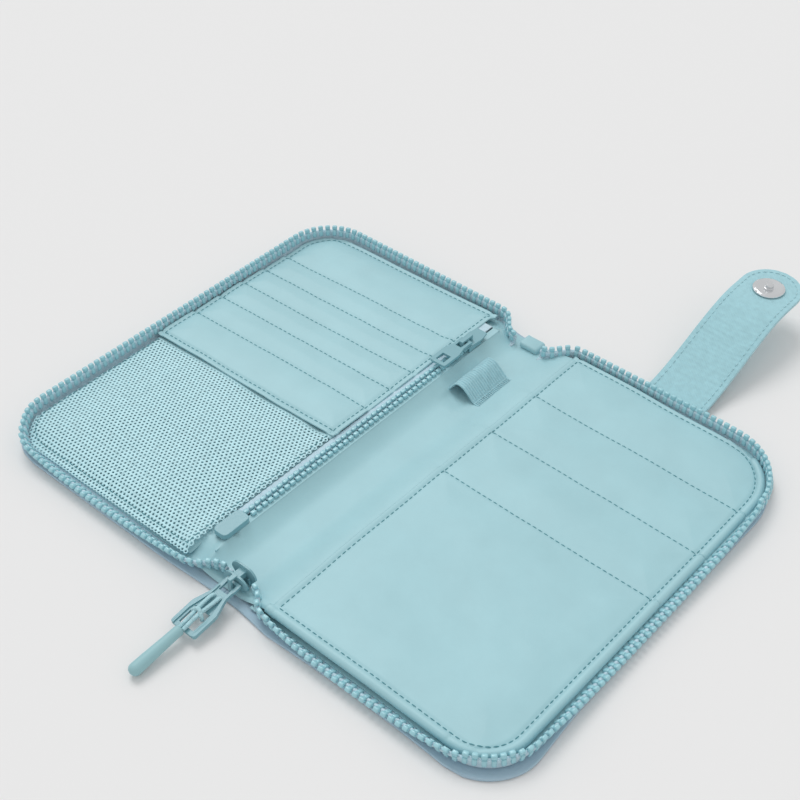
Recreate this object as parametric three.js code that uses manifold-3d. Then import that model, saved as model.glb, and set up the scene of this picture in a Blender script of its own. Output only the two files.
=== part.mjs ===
// Travel wallet lying open: two padded covers joined by a soft spine, a moulded tooth zip round the
// edges, card slots, a mesh pocket, a zipped pocket, a pen loop and a snap strap.
// Millimetres. X runs across the open wallet, Y along the spine, Z up. The origin is on the table,
// under the middle of the spine.

import * as THREE from 'three';
import { mergeVertices } from 'three/addons/utils/BufferGeometryUtils.js';
import Module from 'manifold-3d';

const wasm = await Module();
wasm.setup();

// Running gaps
const TOUCH_GAP = 0.3;
const SHEET_GAP = 0.12;

// Covers and spine
const SPINE_HALF_WIDTH = 11.5;
const COVER_OUTER_X = 133.5;
const COVER_HIGH_Y = 101;
const LEFT_LOW_Y = -100;
const RIGHT_LOW_Y = -101.5;
const COVER_CORNER_RADIUS = 24;
const SHELL_THICKNESS = 1.4;
const BOARD_THICKNESS = 0.8;
const BOARD_INSET = 7;
const LINING_THICKNESS = 0.7;
const LINING_INSET = 1.2;
const LINING_HINGE_INSET = 1.6;
const SPINE_LINING_THICKNESS = 0.8;
const SPINE_LOW_Y = -99;
const SPINE_HIGH_Y = 96;
const ARC_SEGMENTS = 8;

// Zip round the edges
const TOOTH_PITCH = 3.25;
const ZIP_INSET = 3.6;
const TAPE_BASE_Z = SHELL_THICKNESS + TOUCH_GAP;
const LEFT_TAPE_HEIGHT = 5.0;
const RIGHT_TAPE_HEIGHT = 3.6;
const TAPE_FOOT_THICKNESS = 1.0;
const TAPE_BEAD_THICKNESS = 2.2;
const LEFT_TAPE_LEAN = 1.2;
const RIGHT_TAPE_LEAN = 2.4;
const TOOTH_HEIGHT = 3.0;
const TOOTH_NECK = 1.5;
const TOOTH_HEAD = 2.2;
const TOOTH_THICKNESS = 1.6;
const TOOTH_SINK = 0.3;
const COVER_CHAIN_START_X = 22.5;
const LEFT_CHAIN_LOW_END = [-3.6, -91];
const RIGHT_CHAIN_LOW_END = [9.6, -91];
const LEFT_CHAIN_HIGH_END = [-5.6, 87.5];
const RIGHT_CHAIN_HIGH_END = [8.2, 87.5];
const BEND_STEPS = 7;

// Inner panels
const PANEL_THICKNESS = 0.6;
const PANEL_LOW_Y = -94;
const PANEL_HIGH_Y = 95.2;
const PANEL_CORNER_RADIUS = 17;
const LEFT_PANEL_OUTER_X = 128.8;
const RIGHT_PANEL_OUTER_X = 125.4;
const PANEL_OUTER_GAP = 0.2;
const LEFT_PANEL_INNER_X = 21.6;
const RIGHT_PANEL_INNER_X = 21.8;
const LEFT_PANEL_RISE = 2.7;
const RIGHT_PANEL_RISE = 2.6;
const SLOT_THICKNESS = 0.38;
const SLOT_SIDE_INSET = 1.0;
const LEFT_SLOT_TOPS = [67.3, 52.8, 38.5, 24.1, 8.4];
const LEFT_SLOT_BOTTOM = -14;
const RIGHT_SLOT_TOPS = [62.8, 32.9, 1.8];
const RIGHT_SLOT_BOTTOM = -93.5;
const SLOT_TUCK = 9;

// Mesh pocket
const MESH_TOP_Y = -16;
const MESH_BOTTOM_Y = -93;
const MESH_OUTER_INSET = 2.2;
const MESH_INNER_INSET = 1.2;
const MESH_THICKNESS = 0.7;
const MESH_COLUMNS = 11;
const MESH_ROWS = 8;
const MESH_BORDER = 5;
const MESH_BAR = 3.4;
const MESH_CORNER_MARGIN = 2.5;

// Zipped pocket
const POCKET_ZIP_X = -17;
const POCKET_TAPE_Z = 7.3;
const POCKET_TAPE_THICKNESS = 0.6;
const POCKET_TAPE_LEFT_WIDTH = 3.9;
const POCKET_TAPE_RIGHT_WIDTH = 3.3;
const POCKET_TAPE_LOW_Y = -88;
const POCKET_TAPE_HIGH_Y = 86;
const POCKET_CHAIN_LOW_Y = -68.6;
const POCKET_CHAIN_HIGH_Y = 73;
const POCKET_CHAIN_GAP = 0.9;
const POCKET_TOOTH_LENGTH = 1.9;
const POCKET_TOOTH_WIDTH = 1.7;
const POCKET_TOOTH_HEIGHT = 1.8;
const TOOTH_EDGE_INSET = 0.05;
const GUSSET_THICKNESS = 0.7;
const STOP_LENGTH = 14;
const STOP_WIDTH = 7;
const STOP_HEIGHT = 2.6;
const STOP_CORNER_RADIUS = 2;

// Pocket slider and its pull
const SLIDER_LOW_Y = 62;
const SLIDER_LENGTH = 16;
const SLIDER_WIDTH = 7.4;
const SLIDER_NOSE_WIDTH = 5.6;
const SLIDER_PLATE_THICKNESS = 0.8;
const SLIDER_CLEARANCE = 0.3;
const SLIDER_NECK_THICKNESS = 0.5;
const SLIDER_NECK_LENGTH = 4;
const SLIDER_FLANGE_THICKNESS = 0.7;
const SLIDER_FLANGE_TAIL = 3;
const SLIDER_FLANGE_NOSE = 5;
const BAIL_WIDTH = 1.8;
const BAIL_BAR_THICKNESS = 0.9;
const BAIL_HALF_LENGTH = 3.2;
const BAIL_LEG_LENGTH = 0.9;
const PULL_THICKNESS = 1.3;
const PULL_EYE_BAR = 1.2;
const PULL_EYE_LENGTH = 4.9;
const PULL_EYE_WIDTH = 3;
const PULL_CORNER_RADIUS = 1;
const POCKET_PIVOT_Y = 66.6;
const POCKET_PULL_LENGTH = 20.5;
const POCKET_PULL_NECK_WIDTH = 5.8;
const POCKET_PULL_WIDE_FROM = 10;
const POCKET_PULL_END_WIDTH = 8.4;
const POCKET_PULL_WINDOW = [4.4, 5];
const POCKET_PULL_END_BAR = 1.8;

// Main slider and its pull
const MAIN_SLIDER_X = 3;
const MAIN_SLIDER_Y = -91;
const MAIN_SLIDER_LOW_Z = 2.6;
const MAIN_SLIDER_HIGH_Z = 11.8;
const MAIN_FRONT_HIGH_Z = 10;
const MAIN_SLIDER_TOP_WIDTH = 12.6;
const MAIN_SLIDER_LOW_WIDTH = 7.2;
const MAIN_SLIDER_TOP_RADIUS = 4.2;
const MAIN_SLIDER_LOW_RADIUS = 1.4;
const MAIN_SLIDER_GAP = 3.4;
const MAIN_PLATE_THICKNESS = 0.9;
const MAIN_POST_WIDTH = 3.4;
const MAIN_POST_HEIGHT = 3;
const MAIN_FLANGE_THICKNESS = 0.9;
const MAIN_FLANGE_DEPTH = 0.8;
const MAIN_FLANGE_INSET = 0.1;
const MAIN_BAIL_REACH = 3.1;
const MAIN_PIVOT_Z = 6.8;
const MAIN_PULL_SLOPE_DEG = 7.5;
const MAIN_PULL_LENGTH = 27;
const MAIN_PULL_NECK_WIDTH = 7.4;
const MAIN_PULL_END_WIDTH = 12.6;
const MAIN_PULL_WIDE_FROM = 15;
const MAIN_PULL_THICKNESS = 1.2;
const MAIN_PULL_WINDOW = [7.6, 8.6];
const MAIN_PULL_END_BAR = 2;
const MAIN_EYE_WIDTH = 4.4;
const MAIN_RAIL_WIDTH = 1.5;
const MAIN_RAIL_RISE = 0.7;
const MAIN_RAIL_START = 4;
const CORD_DIAMETER = 1.7;
const CORD_SPACING = 2.2;
const CORD_START_SPACING = 3;
const CORD_SIDES = 6;
const CORD_START = 8;
const CORD_BEND = 2.2;
const CORD_CROWN = 0.5;
const CORD_STEPS = 24;
const GRIP_GAP = 0.6;
const GRIP_LENGTH = 24.4;
const GRIP_SHOULDER = 0.6;
const GRIP_NEAR_RADIUS = 2.1;
const GRIP_FAR_RADIUS = 2.6;
const GRIP_REST_Z = 2.8;
const GRIP_SIDES = 14;

// Pen loop
const LOOP_HALF_WIDTH = 8;
const LOOP_LOW_Y = 44;
const LOOP_LENGTH = 23;
const LOOP_CREST_X = -3;
const LOOP_CREST_Z = 9;
const LOOP_THICKNESS = 1.1;
const LOOP_FOOT_WIDTH = 2.2;

// Folded end of the right tape
const END_TAB_SIZE = [6.5, 5, 2.6];
const END_TAB_CENTRE = [1.5, 91];

// Snap strap
const STRAP_CENTRE_X = 68.5;
const STRAP_WIDTH = 28;
const STRAP_ROOT_Y = 100.2;
const STRAP_TIP_Y = 191;
const STRAP_ROOT_Z = SHELL_THICKNESS + TOUCH_GAP;
const STRAP_STUD_Y = 175.5;
const STRAP_STUD_Z = 18.4;
const STRAP_LAYER_THICKNESS = 0.9;
const STRAP_STEPS = 12;
const STUD_RADIUS = 7.3;
const STUD_RIM_RADIUS = 6.2;
const STUD_HEIGHT = 1.2;
const STUD_NUB_RADIUS = 2;
const STUD_NUB_HEIGHT = 1.8;
const CAP_RADIUS = 7;
const CAP_THICKNESS = 1.1;
const SOCKET_RADIUS = 6.5;
const SOCKET_BORE_RADIUS = 2.1;

// Rolled binding of the right panel
const BINDING_RADIUS = 1.2;
const BINDING_OFFSET = 1.5;
const BINDING_SIDES = 8;

const FABRIC = { color: 0xacd7dd, roughness: 0.55, metalness: 0 };
const LINING = { color: 0xacd6dc, roughness: 0.5, metalness: 0 };
const TAPE = { color: 0xb4cddc, roughness: 0.85, metalness: 0 };
const TEETH = { color: 0x9ccfd7, roughness: 0.35, metalness: 0 };
const NET = { color: 0xbee3eb, roughness: 0.8, metalness: 0 };
const PAINTED = { color: 0x8fc3cc, roughness: 0.35, metalness: 0.1 };
const RUBBER = { color: 0x86c5c6, roughness: 0.5, metalness: 0 };
const METAL = { color: 0xd9dcde, roughness: 0.25, metalness: 0.9 };
const BOARD = { color: 0xb9b5aa, roughness: 0.9, metalness: 0 };

const wallet = new THREE.Group();

function addPiece(name, geometry, look) {
  const mesh = new THREE.Mesh(geometry, new THREE.MeshStandardMaterial(look));
  mesh.name = name;
  wallet.add(mesh);
  return mesh;
}

// Solid joins and cuts
function toSolid(geometry) {
  const bare = geometry.clone();
  bare.deleteAttribute('normal');
  bare.deleteAttribute('uv');
  const merged = mergeVertices(bare, 1e-4);
  return new wasm.Manifold(new wasm.Mesh({
    numProp: 3,
    vertProperties: Float32Array.from(merged.attributes.position.array),
    triVerts: Uint32Array.from(merged.index.array),
  }));
}

function toGeometry(solid) {
  const mesh = solid.getMesh();
  const geometry = new THREE.BufferGeometry();
  geometry.setAttribute('position', new THREE.BufferAttribute(Float32Array.from(mesh.vertProperties), 3));
  geometry.setIndex(new THREE.BufferAttribute(Uint32Array.from(mesh.triVerts), 1));
  return geometry;
}

function join(geometries) {
  const [first, ...others] = geometries.map(toSolid);
  return toGeometry(others.reduce((whole, solid) => whole.add(solid), first));
}

function cut(geometry, tools) {
  return toGeometry(tools.map(toSolid).reduce((whole, tool) => whole.subtract(tool), toSolid(geometry)));
}

// Flat outlines
function shapeOf(points) {
  const corners = points.map(([x, y]) => new THREE.Vector2(x, y));
  return new THREE.Shape(THREE.ShapeUtils.isClockWise(corners) ? corners.reverse() : corners);
}

function arcPoints(centreX, centreY, radius, from, to, segments = ARC_SEGMENTS) {
  return Array.from({ length: segments + 1 }, (_, i) => {
    const angle = from + (to - from) * i / segments;
    return [centreX + radius * Math.cos(angle), centreY + radius * Math.sin(angle)];
  });
}

// A cover's outline: square at the spine, rounded at its two outer corners
function coverShape(side, inset, innerX, lowY) {
  const outer = COVER_OUTER_X - inset;
  const radius = COVER_CORNER_RADIUS - inset;
  const low = lowY + inset;
  const high = COVER_HIGH_Y - inset;
  const points = [
    [innerX, low],
    ...arcPoints(outer - radius, low + radius, radius, -Math.PI / 2, 0),
    ...arcPoints(outer - radius, high - radius, radius, 0, Math.PI / 2),
    [innerX, high],
  ];
  return shapeOf(points.map(([x, y]) => [side * x, y]));
}

function roundedRectangle(lowX, highX, lowY, highY, radius, segments = 3) {
  return [
    ...arcPoints(lowX + radius, lowY + radius, radius, Math.PI, Math.PI * 1.5, segments),
    ...arcPoints(highX - radius, lowY + radius, radius, Math.PI * 1.5, Math.PI * 2, segments),
    ...arcPoints(highX - radius, highY - radius, radius, 0, Math.PI / 2, segments),
    ...arcPoints(lowX + radius, highY - radius, radius, Math.PI / 2, Math.PI, segments),
  ];
}

function plate(shape, lowZ, thickness) {
  const geometry = new THREE.ExtrudeGeometry(shape, { depth: thickness, bevelEnabled: false });
  return geometry.translate(0, 0, lowZ);
}

function block(lowX, highX, lowY, highY, lowZ, highZ) {
  const geometry = new THREE.BoxGeometry(highX - lowX, highY - lowY, highZ - lowZ);
  return geometry.translate((lowX + highX) / 2, (lowY + highY) / 2, (lowZ + highZ) / 2);
}

// Lifts a flat sheet so that it climbs from the cover's outer edge to the spine side
function lift(geometry, { side, innerX, outerX, rise }) {
  const position = geometry.attributes.position;
  for (let i = 0; i < position.count; i += 1) {
    const share = (outerX - side * position.getX(i)) / (outerX - innerX);
    position.setZ(i, position.getZ(i) + rise * share);
  }
  return geometry;
}

// Covers and spine
const BOARD_Z = SHELL_THICKNESS;
const LINING_Z = BOARD_Z + BOARD_THICKNESS;
const LINING_TOP = LINING_Z + LINING_THICKNESS;
const HINGE_Z = SHELL_THICKNESS + SPINE_LINING_THICKNESS / 4;

// The strap of the closed wallet reaches over the far edge to the left cover's outer face
const CLOSED_THICKNESS = 2 * (SPINE_HALF_WIDTH + HINGE_Z);
const SOCKET_CENTRE = [-STRAP_CENTRE_X, COVER_HIGH_Y - (STRAP_STUD_Y - STRAP_ROOT_Y - CLOSED_THICKNESS)];
const SHELL_HINGE_X = SPINE_HALF_WIDTH + TOUCH_GAP / 2;

function snapSocket() {
  const points = [
    [SOCKET_BORE_RADIUS, 0.1],
    [SOCKET_RADIUS - TOUCH_GAP, 0.1],
    [SOCKET_RADIUS - TOUCH_GAP, SHELL_THICKNESS - 0.1],
    [SOCKET_BORE_RADIUS, SHELL_THICKNESS - 0.1],
    [SOCKET_BORE_RADIUS, 0.1],
  ];
  const ring = new THREE.LatheGeometry(points.map(([x, y]) => new THREE.Vector2(x, y)), 20);
  return ring.rotateX(Math.PI / 2).translate(SOCKET_CENTRE[0], SOCKET_CENTRE[1], 0);
}

function addCoverBase(side, name, lowY) {
  const shell = coverShape(side, 0, SHELL_HINGE_X, lowY);
  if (side < 0) {
    const hole = arcPoints(SOCKET_CENTRE[0], SOCKET_CENTRE[1], SOCKET_RADIUS, 0, -Math.PI * 2, 20).slice(0, -1);
    shell.holes.push(new THREE.Path(hole.map(([x, y]) => new THREE.Vector2(x, y))));
  }
  addPiece(`${name}_shell`, plate(shell, 0, SHELL_THICKNESS), FABRIC);
  const board = coverShape(side, BOARD_INSET, SHELL_HINGE_X + LINING_HINGE_INSET, lowY);
  addPiece(`${name}_board`, plate(board, BOARD_Z, BOARD_THICKNESS), BOARD);
  const lining = coverShape(side, ZIP_INSET + LINING_INSET, SHELL_HINGE_X + LINING_HINGE_INSET, lowY);
  addPiece(`${name}_lining`, plate(lining, LINING_Z, LINING_THICKNESS), LINING);
}

addCoverBase(-1, 'left', LEFT_LOW_Y);
addCoverBase(1, 'right', RIGHT_LOW_Y);
addPiece('snap_socket', snapSocket(), METAL);

const SPINE_EDGE = SPINE_HALF_WIDTH - TOUCH_GAP / 2;
const spineOutline = roundedRectangle(-SPINE_EDGE, SPINE_EDGE, SPINE_LOW_Y, SPINE_HIGH_Y, 2);
addPiece('spine_shell', plate(shapeOf(spineOutline), 0, SHELL_THICKNESS), FABRIC);
const liningOutline = roundedRectangle(-SPINE_EDGE, SPINE_EDGE, SPINE_LOW_Y + 1, SPINE_HIGH_Y - 1, 2);
addPiece('spine_lining', plate(shapeOf(liningOutline), SHELL_THICKNESS, SPINE_LINING_THICKNESS), LINING);

// Sloped panels and their card slots
const PANEL_Z = LINING_TOP + PANEL_OUTER_GAP;

function panelShape({ side, innerX, outerX }) {
  const radius = PANEL_CORNER_RADIUS;
  const points = [
    [innerX, PANEL_LOW_Y],
    ...arcPoints(outerX - radius, PANEL_LOW_Y + radius, radius, -Math.PI / 2, 0, 5),
    ...arcPoints(outerX - radius, PANEL_HIGH_Y - radius, radius, 0, Math.PI / 2, 5),
    [innerX, PANEL_HIGH_Y],
  ];
  return shapeOf(points.map(([x, y]) => [side * x, y]));
}

// A slot sheet is clipped to the panel's rounded corners by the panel's own outline
function slotSheet(panel, topY, bottomY, lowZ) {
  const outer = panel.side * (panel.outerX - SLOT_SIDE_INSET);
  const inner = panel.side * (panel.innerX + SLOT_SIDE_INSET / 2);
  const sheet = block(Math.min(inner, outer), Math.max(inner, outer), bottomY, topY, lowZ, lowZ + SLOT_THICKNESS);
  const clip = plate(panelShape(panel), lowZ - 1, SLOT_THICKNESS + 2);
  return toGeometry(toSolid(sheet).intersect(toSolid(clip)));
}

function addPanel(name, panelName, panel, tops, bottomY) {
  addPiece(panelName, lift(plate(panelShape(panel), PANEL_Z, PANEL_THICKNESS), panel), LINING);
  tops.forEach((topY, i) => {
    const lowZ = PANEL_Z + PANEL_THICKNESS + SHEET_GAP + i * (SLOT_THICKNESS + SHEET_GAP);
    const nextTop = i + 1 < tops.length ? tops[i + 1] : bottomY + SLOT_TUCK;
    const sheet = slotSheet(panel, topY, nextTop - SLOT_TUCK, lowZ);
    addPiece(`${name}_card_slot_${i + 1}`, lift(sheet, panel), LINING);
  });
}

const leftPanel = { side: -1, innerX: LEFT_PANEL_INNER_X, outerX: LEFT_PANEL_OUTER_X, rise: LEFT_PANEL_RISE };
const rightPanel = { side: 1, innerX: RIGHT_PANEL_INNER_X, outerX: RIGHT_PANEL_OUTER_X, rise: RIGHT_PANEL_RISE };
addPanel('left', 'left_zip_panel', leftPanel, LEFT_SLOT_TOPS, LEFT_SLOT_BOTTOM);
addPanel('right', 'right_panel', rightPanel, RIGHT_SLOT_TOPS, RIGHT_SLOT_BOTTOM);

// Mesh pocket: one wall with a grid of openings
function meshPocket() {
  const innerX = LEFT_PANEL_INNER_X + MESH_INNER_INSET;
  const outerX = LEFT_PANEL_OUTER_X - MESH_OUTER_INSET;
  const radius = PANEL_CORNER_RADIUS;
  const lowZ = PANEL_Z + PANEL_THICKNESS + TOUCH_GAP;
  const outline = shapeOf([[-innerX, MESH_TOP_Y], [-outerX, MESH_TOP_Y],
    ...arcPoints(radius - outerX, MESH_BOTTOM_Y + radius, radius, Math.PI, Math.PI * 1.5, 5),
    [-innerX, MESH_BOTTOM_Y]]);
  const cellX = (outerX - innerX - 2 * MESH_BORDER + MESH_BAR) / MESH_COLUMNS;
  const cellY = (MESH_TOP_Y - MESH_BOTTOM_Y - 2 * MESH_BORDER + MESH_BAR) / MESH_ROWS;
  const openings = [];
  for (let column = 0; column < MESH_COLUMNS; column += 1) {
    for (let row = 0; row < MESH_ROWS; row += 1) {
      const nearX = -innerX - MESH_BORDER - column * cellX;
      const highY = MESH_TOP_Y - MESH_BORDER - row * cellY;
      const farX = nearX - cellX + MESH_BAR;
      const lowY = highY - cellY + MESH_BAR;
      const overX = Math.max(0, radius - outerX - farX);
      const overY = Math.max(0, MESH_BOTTOM_Y + radius - lowY);
      if (Math.hypot(overX, overY) < radius - MESH_CORNER_MARGIN) {
        openings.push(block(farX, nearX, lowY, highY, lowZ - 1, lowZ + MESH_THICKNESS + 1));
      }
    }
  }
  const net = cut(plate(outline, lowZ, MESH_THICKNESS), openings);
  return lift(net, leftPanel);
}

addPiece('mesh_pocket', meshPocket(), NET);

// Zip round the edges. The section has its u axis outwards and its v axis up; its top is square to the lean.
function zipSection(height, lean) {
  const foot = TAPE_FOOT_THICKNESS / 2;
  const angle = Math.atan2(lean, height);
  const across = TAPE_BEAD_THICKNESS / 2 * Math.cos(angle);
  const drop = TAPE_BEAD_THICKNESS / 2 * Math.sin(angle);
  return [[-foot, 0], [foot, 0], [lean + across, height - drop], [lean - across, height + drop]];
}

function coverChainCurve(side, lowY) {
  const outer = COVER_OUTER_X - ZIP_INSET;
  const radius = COVER_CORNER_RADIUS - ZIP_INSET;
  const low = lowY + ZIP_INSET;
  const high = COVER_HIGH_Y - ZIP_INSET;
  const start = COVER_CHAIN_START_X;
  const path = new THREE.CurvePath();
  const at = (x, y) => new THREE.Vector2(side * x, y);
  const corner = (x, y, from, to) => {
    const centre = side * x;
    return new THREE.EllipseCurve(centre, y, radius, radius, side > 0 ? from : Math.PI - from,
      side > 0 ? to : Math.PI - to, side < 0);
  };
  path.add(new THREE.LineCurve(at(start, low), at(outer - radius, low)));
  path.add(corner(outer - radius, low + radius, -Math.PI / 2, 0));
  path.add(new THREE.LineCurve(at(outer, low + radius), at(outer, high - radius)));
  path.add(corner(outer - radius, high - radius, 0, Math.PI / 2));
  path.add(new THREE.LineCurve(at(outer - radius, high), at(start, high)));
  return path;
}

function bendCurve(side, wallY, end) {
  const start = side * (COVER_CHAIN_START_X - TOUCH_GAP);
  const halfway = (start + end[0]) / 2;
  return new THREE.CubicBezierCurve(new THREE.Vector2(start, wallY), new THREE.Vector2(halfway, wallY),
    new THREE.Vector2(halfway, end[1]), new THREE.Vector2(...end));
}

// Places of a swept strip: a point, its tangent and its outward normal
function placeAt(curve, share, outward) {
  const tangent = curve.getTangentAt(share);
  const normal = new THREE.Vector2(tangent.y, -tangent.x).multiplyScalar(outward);
  return { point: curve.getPointAt(share), tangent, normal };
}

// Evenly spaced places, for the teeth
function evenPlaces(curve, count, outward) {
  curve.arcLengthDivisions = 2000;
  return Array.from({ length: count }, (_, i) => placeAt(curve, (i + 0.5) / count, outward));
}

// Places for the strip itself: the ends of each straight stretch, and a few along each bend
function stripPlaces(path, outward) {
  const curves = path.curves ?? [path];
  return curves.flatMap((curve, i) => {
    const steps = curve.isLineCurve ? 1 : BEND_STEPS;
    const first = i === 0 ? 0 : 1;
    return Array.from({ length: steps + 1 - first }, (_, k) => placeAt(curve, (k + first) / steps, outward));
  });
}

// A strip is an extruded bar of one segment a step, bent onto its curve
function sweptStrip(section, places) {
  const steps = places.length - 1;
  const bar = new THREE.ExtrudeGeometry(shapeOf(section), { depth: steps, steps, bevelEnabled: false });
  const position = bar.attributes.position;
  for (let i = 0; i < position.count; i += 1) {
    const { point, normal } = places[Math.round(position.getZ(i))];
    const u = position.getX(i);
    const v = position.getY(i);
    position.setXYZ(i, point.x + normal.x * u, point.y + normal.y * u, v);
  }
  return bar;
}

function orientOut(geometry) {
  const position = geometry.attributes.position;
  const index = geometry.index;
  const corner = (i) => new THREE.Vector3().fromBufferAttribute(position, index ? index.getX(i) : i);
  const total = index ? index.count : position.count;
  let volume = 0;
  for (let i = 0; i < total; i += 3) {
    volume += corner(i).dot(corner(i + 1).cross(corner(i + 2)));
  }
  if (volume > 0) {
    return geometry;
  }
  const turned = geometry.index ? geometry.toNonIndexed() : geometry;
  const spots = turned.attributes.position.array;
  for (let i = 0; i < spots.length; i += 9) {
    for (let axis = 0; axis < 3; axis += 1) {
      [spots[i + 3 + axis], spots[i + 6 + axis]] = [spots[i + 6 + axis], spots[i + 3 + axis]];
    }
  }
  return turned;
}

// A moulded tooth: a narrow neck that widens to its head, upright on the tape's bead
function tooth(place, height, lean, topZ) {
  const half = TOOTH_THICKNESS / 2;
  const profile = shapeOf([[-TOOTH_NECK / 2, 0], [TOOTH_NECK / 2, 0],
    [TOOTH_HEAD / 2, TOOTH_HEIGHT + TOOTH_SINK], [-TOOTH_HEAD / 2, TOOTH_HEIGHT + TOOTH_SINK]]);
  const body = new THREE.ExtrudeGeometry(profile, { depth: TOOTH_THICKNESS, bevelEnabled: false });
  body.translate(0, 0, -half);
  const along = new THREE.Vector3(place.tangent.x, place.tangent.y, 0);
  const outward = new THREE.Vector3(place.normal.x, place.normal.y, 0);
  const up = outward.clone().multiplyScalar(lean).add(new THREE.Vector3(0, 0, height)).normalize();
  const through = along.clone().cross(up).normalize();
  const frame = new THREE.Matrix4().makeBasis(along, up, through);
  body.applyMatrix4(frame);
  const foot = topZ - TOOTH_SINK;
  return body.translate(place.point.x + outward.x * lean, place.point.y + outward.y * lean, foot);
}

function zipStrip(curve, outward, { baseZ, topZ, lean }) {
  const height = topZ - baseZ;
  const tape = sweptStrip(zipSection(height, lean), stripPlaces(curve, outward));
  tape.translate(0, 0, baseZ);
  const places = evenPlaces(curve, Math.floor(curve.getLength() / TOOTH_PITCH), outward);
  const solids = places.map((place) => toSolid(orientOut(tooth(place, height, lean, topZ))));
  return toGeometry(solids.reduce((whole, solid) => whole.add(solid), toSolid(orientOut(tape))));
}

const HIGH_WALL_Y = COVER_HIGH_Y - ZIP_INSET;
const BEND_BASE_Z = LINING_TOP + TOUCH_GAP;

function addZipHalf(side, name, lowY, height, lean, lowEnd, highEnd) {
  const topZ = TAPE_BASE_Z + height;
  const wall = { baseZ: TAPE_BASE_Z, topZ, lean };
  const bend = { baseZ: BEND_BASE_Z, topZ, lean };
  addPiece(`${name}_zip_chain`, zipStrip(coverChainCurve(side, lowY), side, wall), TEETH);
  const lowBend = bendCurve(side, lowY + ZIP_INSET, lowEnd);
  addPiece(`${name}_chain_bend_low`, zipStrip(lowBend, -side, bend), TEETH);
  const highBend = bendCurve(side, HIGH_WALL_Y, highEnd);
  addPiece(`${name}_chain_bend_high`, zipStrip(highBend, side, bend), TEETH);
}

addZipHalf(-1, 'left', LEFT_LOW_Y, LEFT_TAPE_HEIGHT, LEFT_TAPE_LEAN, LEFT_CHAIN_LOW_END, LEFT_CHAIN_HIGH_END);
addZipHalf(1, 'right', RIGHT_LOW_Y, RIGHT_TAPE_HEIGHT, RIGHT_TAPE_LEAN, RIGHT_CHAIN_LOW_END,
  RIGHT_CHAIN_HIGH_END);

const TAB_Z = SHELL_THICKNESS + SPINE_LINING_THICKNESS;
const tabOutline = roundedRectangle(END_TAB_CENTRE[0] - END_TAB_SIZE[0] / 2,
  END_TAB_CENTRE[0] + END_TAB_SIZE[0] / 2, END_TAB_CENTRE[1] - END_TAB_SIZE[1] / 2,
  END_TAB_CENTRE[1] + END_TAB_SIZE[1] / 2, 1.2);
addPiece('zip_end_tab', plate(shapeOf(tabOutline), TAB_Z, END_TAB_SIZE[2]), TAPE);

// Rolled binding along the right panel's outer and lower edges
function binding() {
  const radius = PANEL_CORNER_RADIUS + BINDING_OFFSET;
  const outer = RIGHT_PANEL_OUTER_X + BINDING_OFFSET;
  const low = PANEL_LOW_Y - BINDING_OFFSET;
  const high = PANEL_HIGH_Y - PANEL_CORNER_RADIUS;
  const path = new THREE.CurvePath();
  path.add(new THREE.LineCurve(new THREE.Vector2(RIGHT_PANEL_INNER_X, low), new THREE.Vector2(outer - radius, low)));
  path.add(new THREE.EllipseCurve(outer - radius, low + radius, radius, radius, -Math.PI / 2, 0, false));
  path.add(new THREE.LineCurve(new THREE.Vector2(outer, low + radius), new THREE.Vector2(outer, high)));
  const section = arcPoints(0, 0, BINDING_RADIUS, 0, Math.PI * 2, BINDING_SIDES).slice(0, -1);
  const roll = sweptStrip(section, stripPlaces(path, 1));
  return orientOut(roll.translate(0, 0, LINING_TOP + TOUCH_GAP + BINDING_RADIUS));
}

addPiece('right_binding', lift(binding(), rightPanel), LINING);

// Zipped pocket: two tapes with their teeth, the gusset under the spine side and the end stop
const POCKET_TAPE_TOP = POCKET_TAPE_Z + POCKET_TAPE_THICKNESS;

function pocketTape(side, width) {
  const edge = POCKET_ZIP_X + side * POCKET_CHAIN_GAP / 2;
  const far = edge + side * width;
  const tape = block(Math.min(edge, far), Math.max(edge, far), POCKET_TAPE_LOW_Y, POCKET_TAPE_HIGH_Y,
    POCKET_TAPE_Z, POCKET_TAPE_TOP);
  const back = edge + side * POCKET_TOOTH_LENGTH;
  const count = Math.floor((POCKET_CHAIN_HIGH_Y - POCKET_CHAIN_LOW_Y) / TOOTH_PITCH);
  const offset = side > 0 ? TOOTH_PITCH / 2 : 0;
  const teeth = Array.from({ length: count }, (_, i) => {
    const y = POCKET_CHAIN_LOW_Y + POCKET_TOOTH_WIDTH / 2 + offset + i * TOOTH_PITCH;
    return block(Math.min(edge + side * TOOTH_EDGE_INSET, back), Math.max(edge + side * TOOTH_EDGE_INSET, back),
      y - POCKET_TOOTH_WIDTH / 2, y + POCKET_TOOTH_WIDTH / 2,
      POCKET_TAPE_TOP - TOOTH_SINK, POCKET_TAPE_TOP + POCKET_TOOTH_HEIGHT);
  });
  return join([tape, ...teeth]);
}

addPiece('pocket_tape_left', pocketTape(-1, POCKET_TAPE_LEFT_WIDTH), TAPE);
addPiece('pocket_tape_right', pocketTape(1, POCKET_TAPE_RIGHT_WIDTH), TAPE);

const POCKET_TAPE_RIGHT_X = POCKET_ZIP_X + POCKET_CHAIN_GAP / 2 + POCKET_TAPE_RIGHT_WIDTH;
addPiece('pocket_gusset', block(POCKET_TAPE_RIGHT_X - GUSSET_THICKNESS, POCKET_TAPE_RIGHT_X,
  POCKET_TAPE_LOW_Y, POCKET_TAPE_HIGH_Y, LINING_TOP, POCKET_TAPE_Z), LINING);

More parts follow.
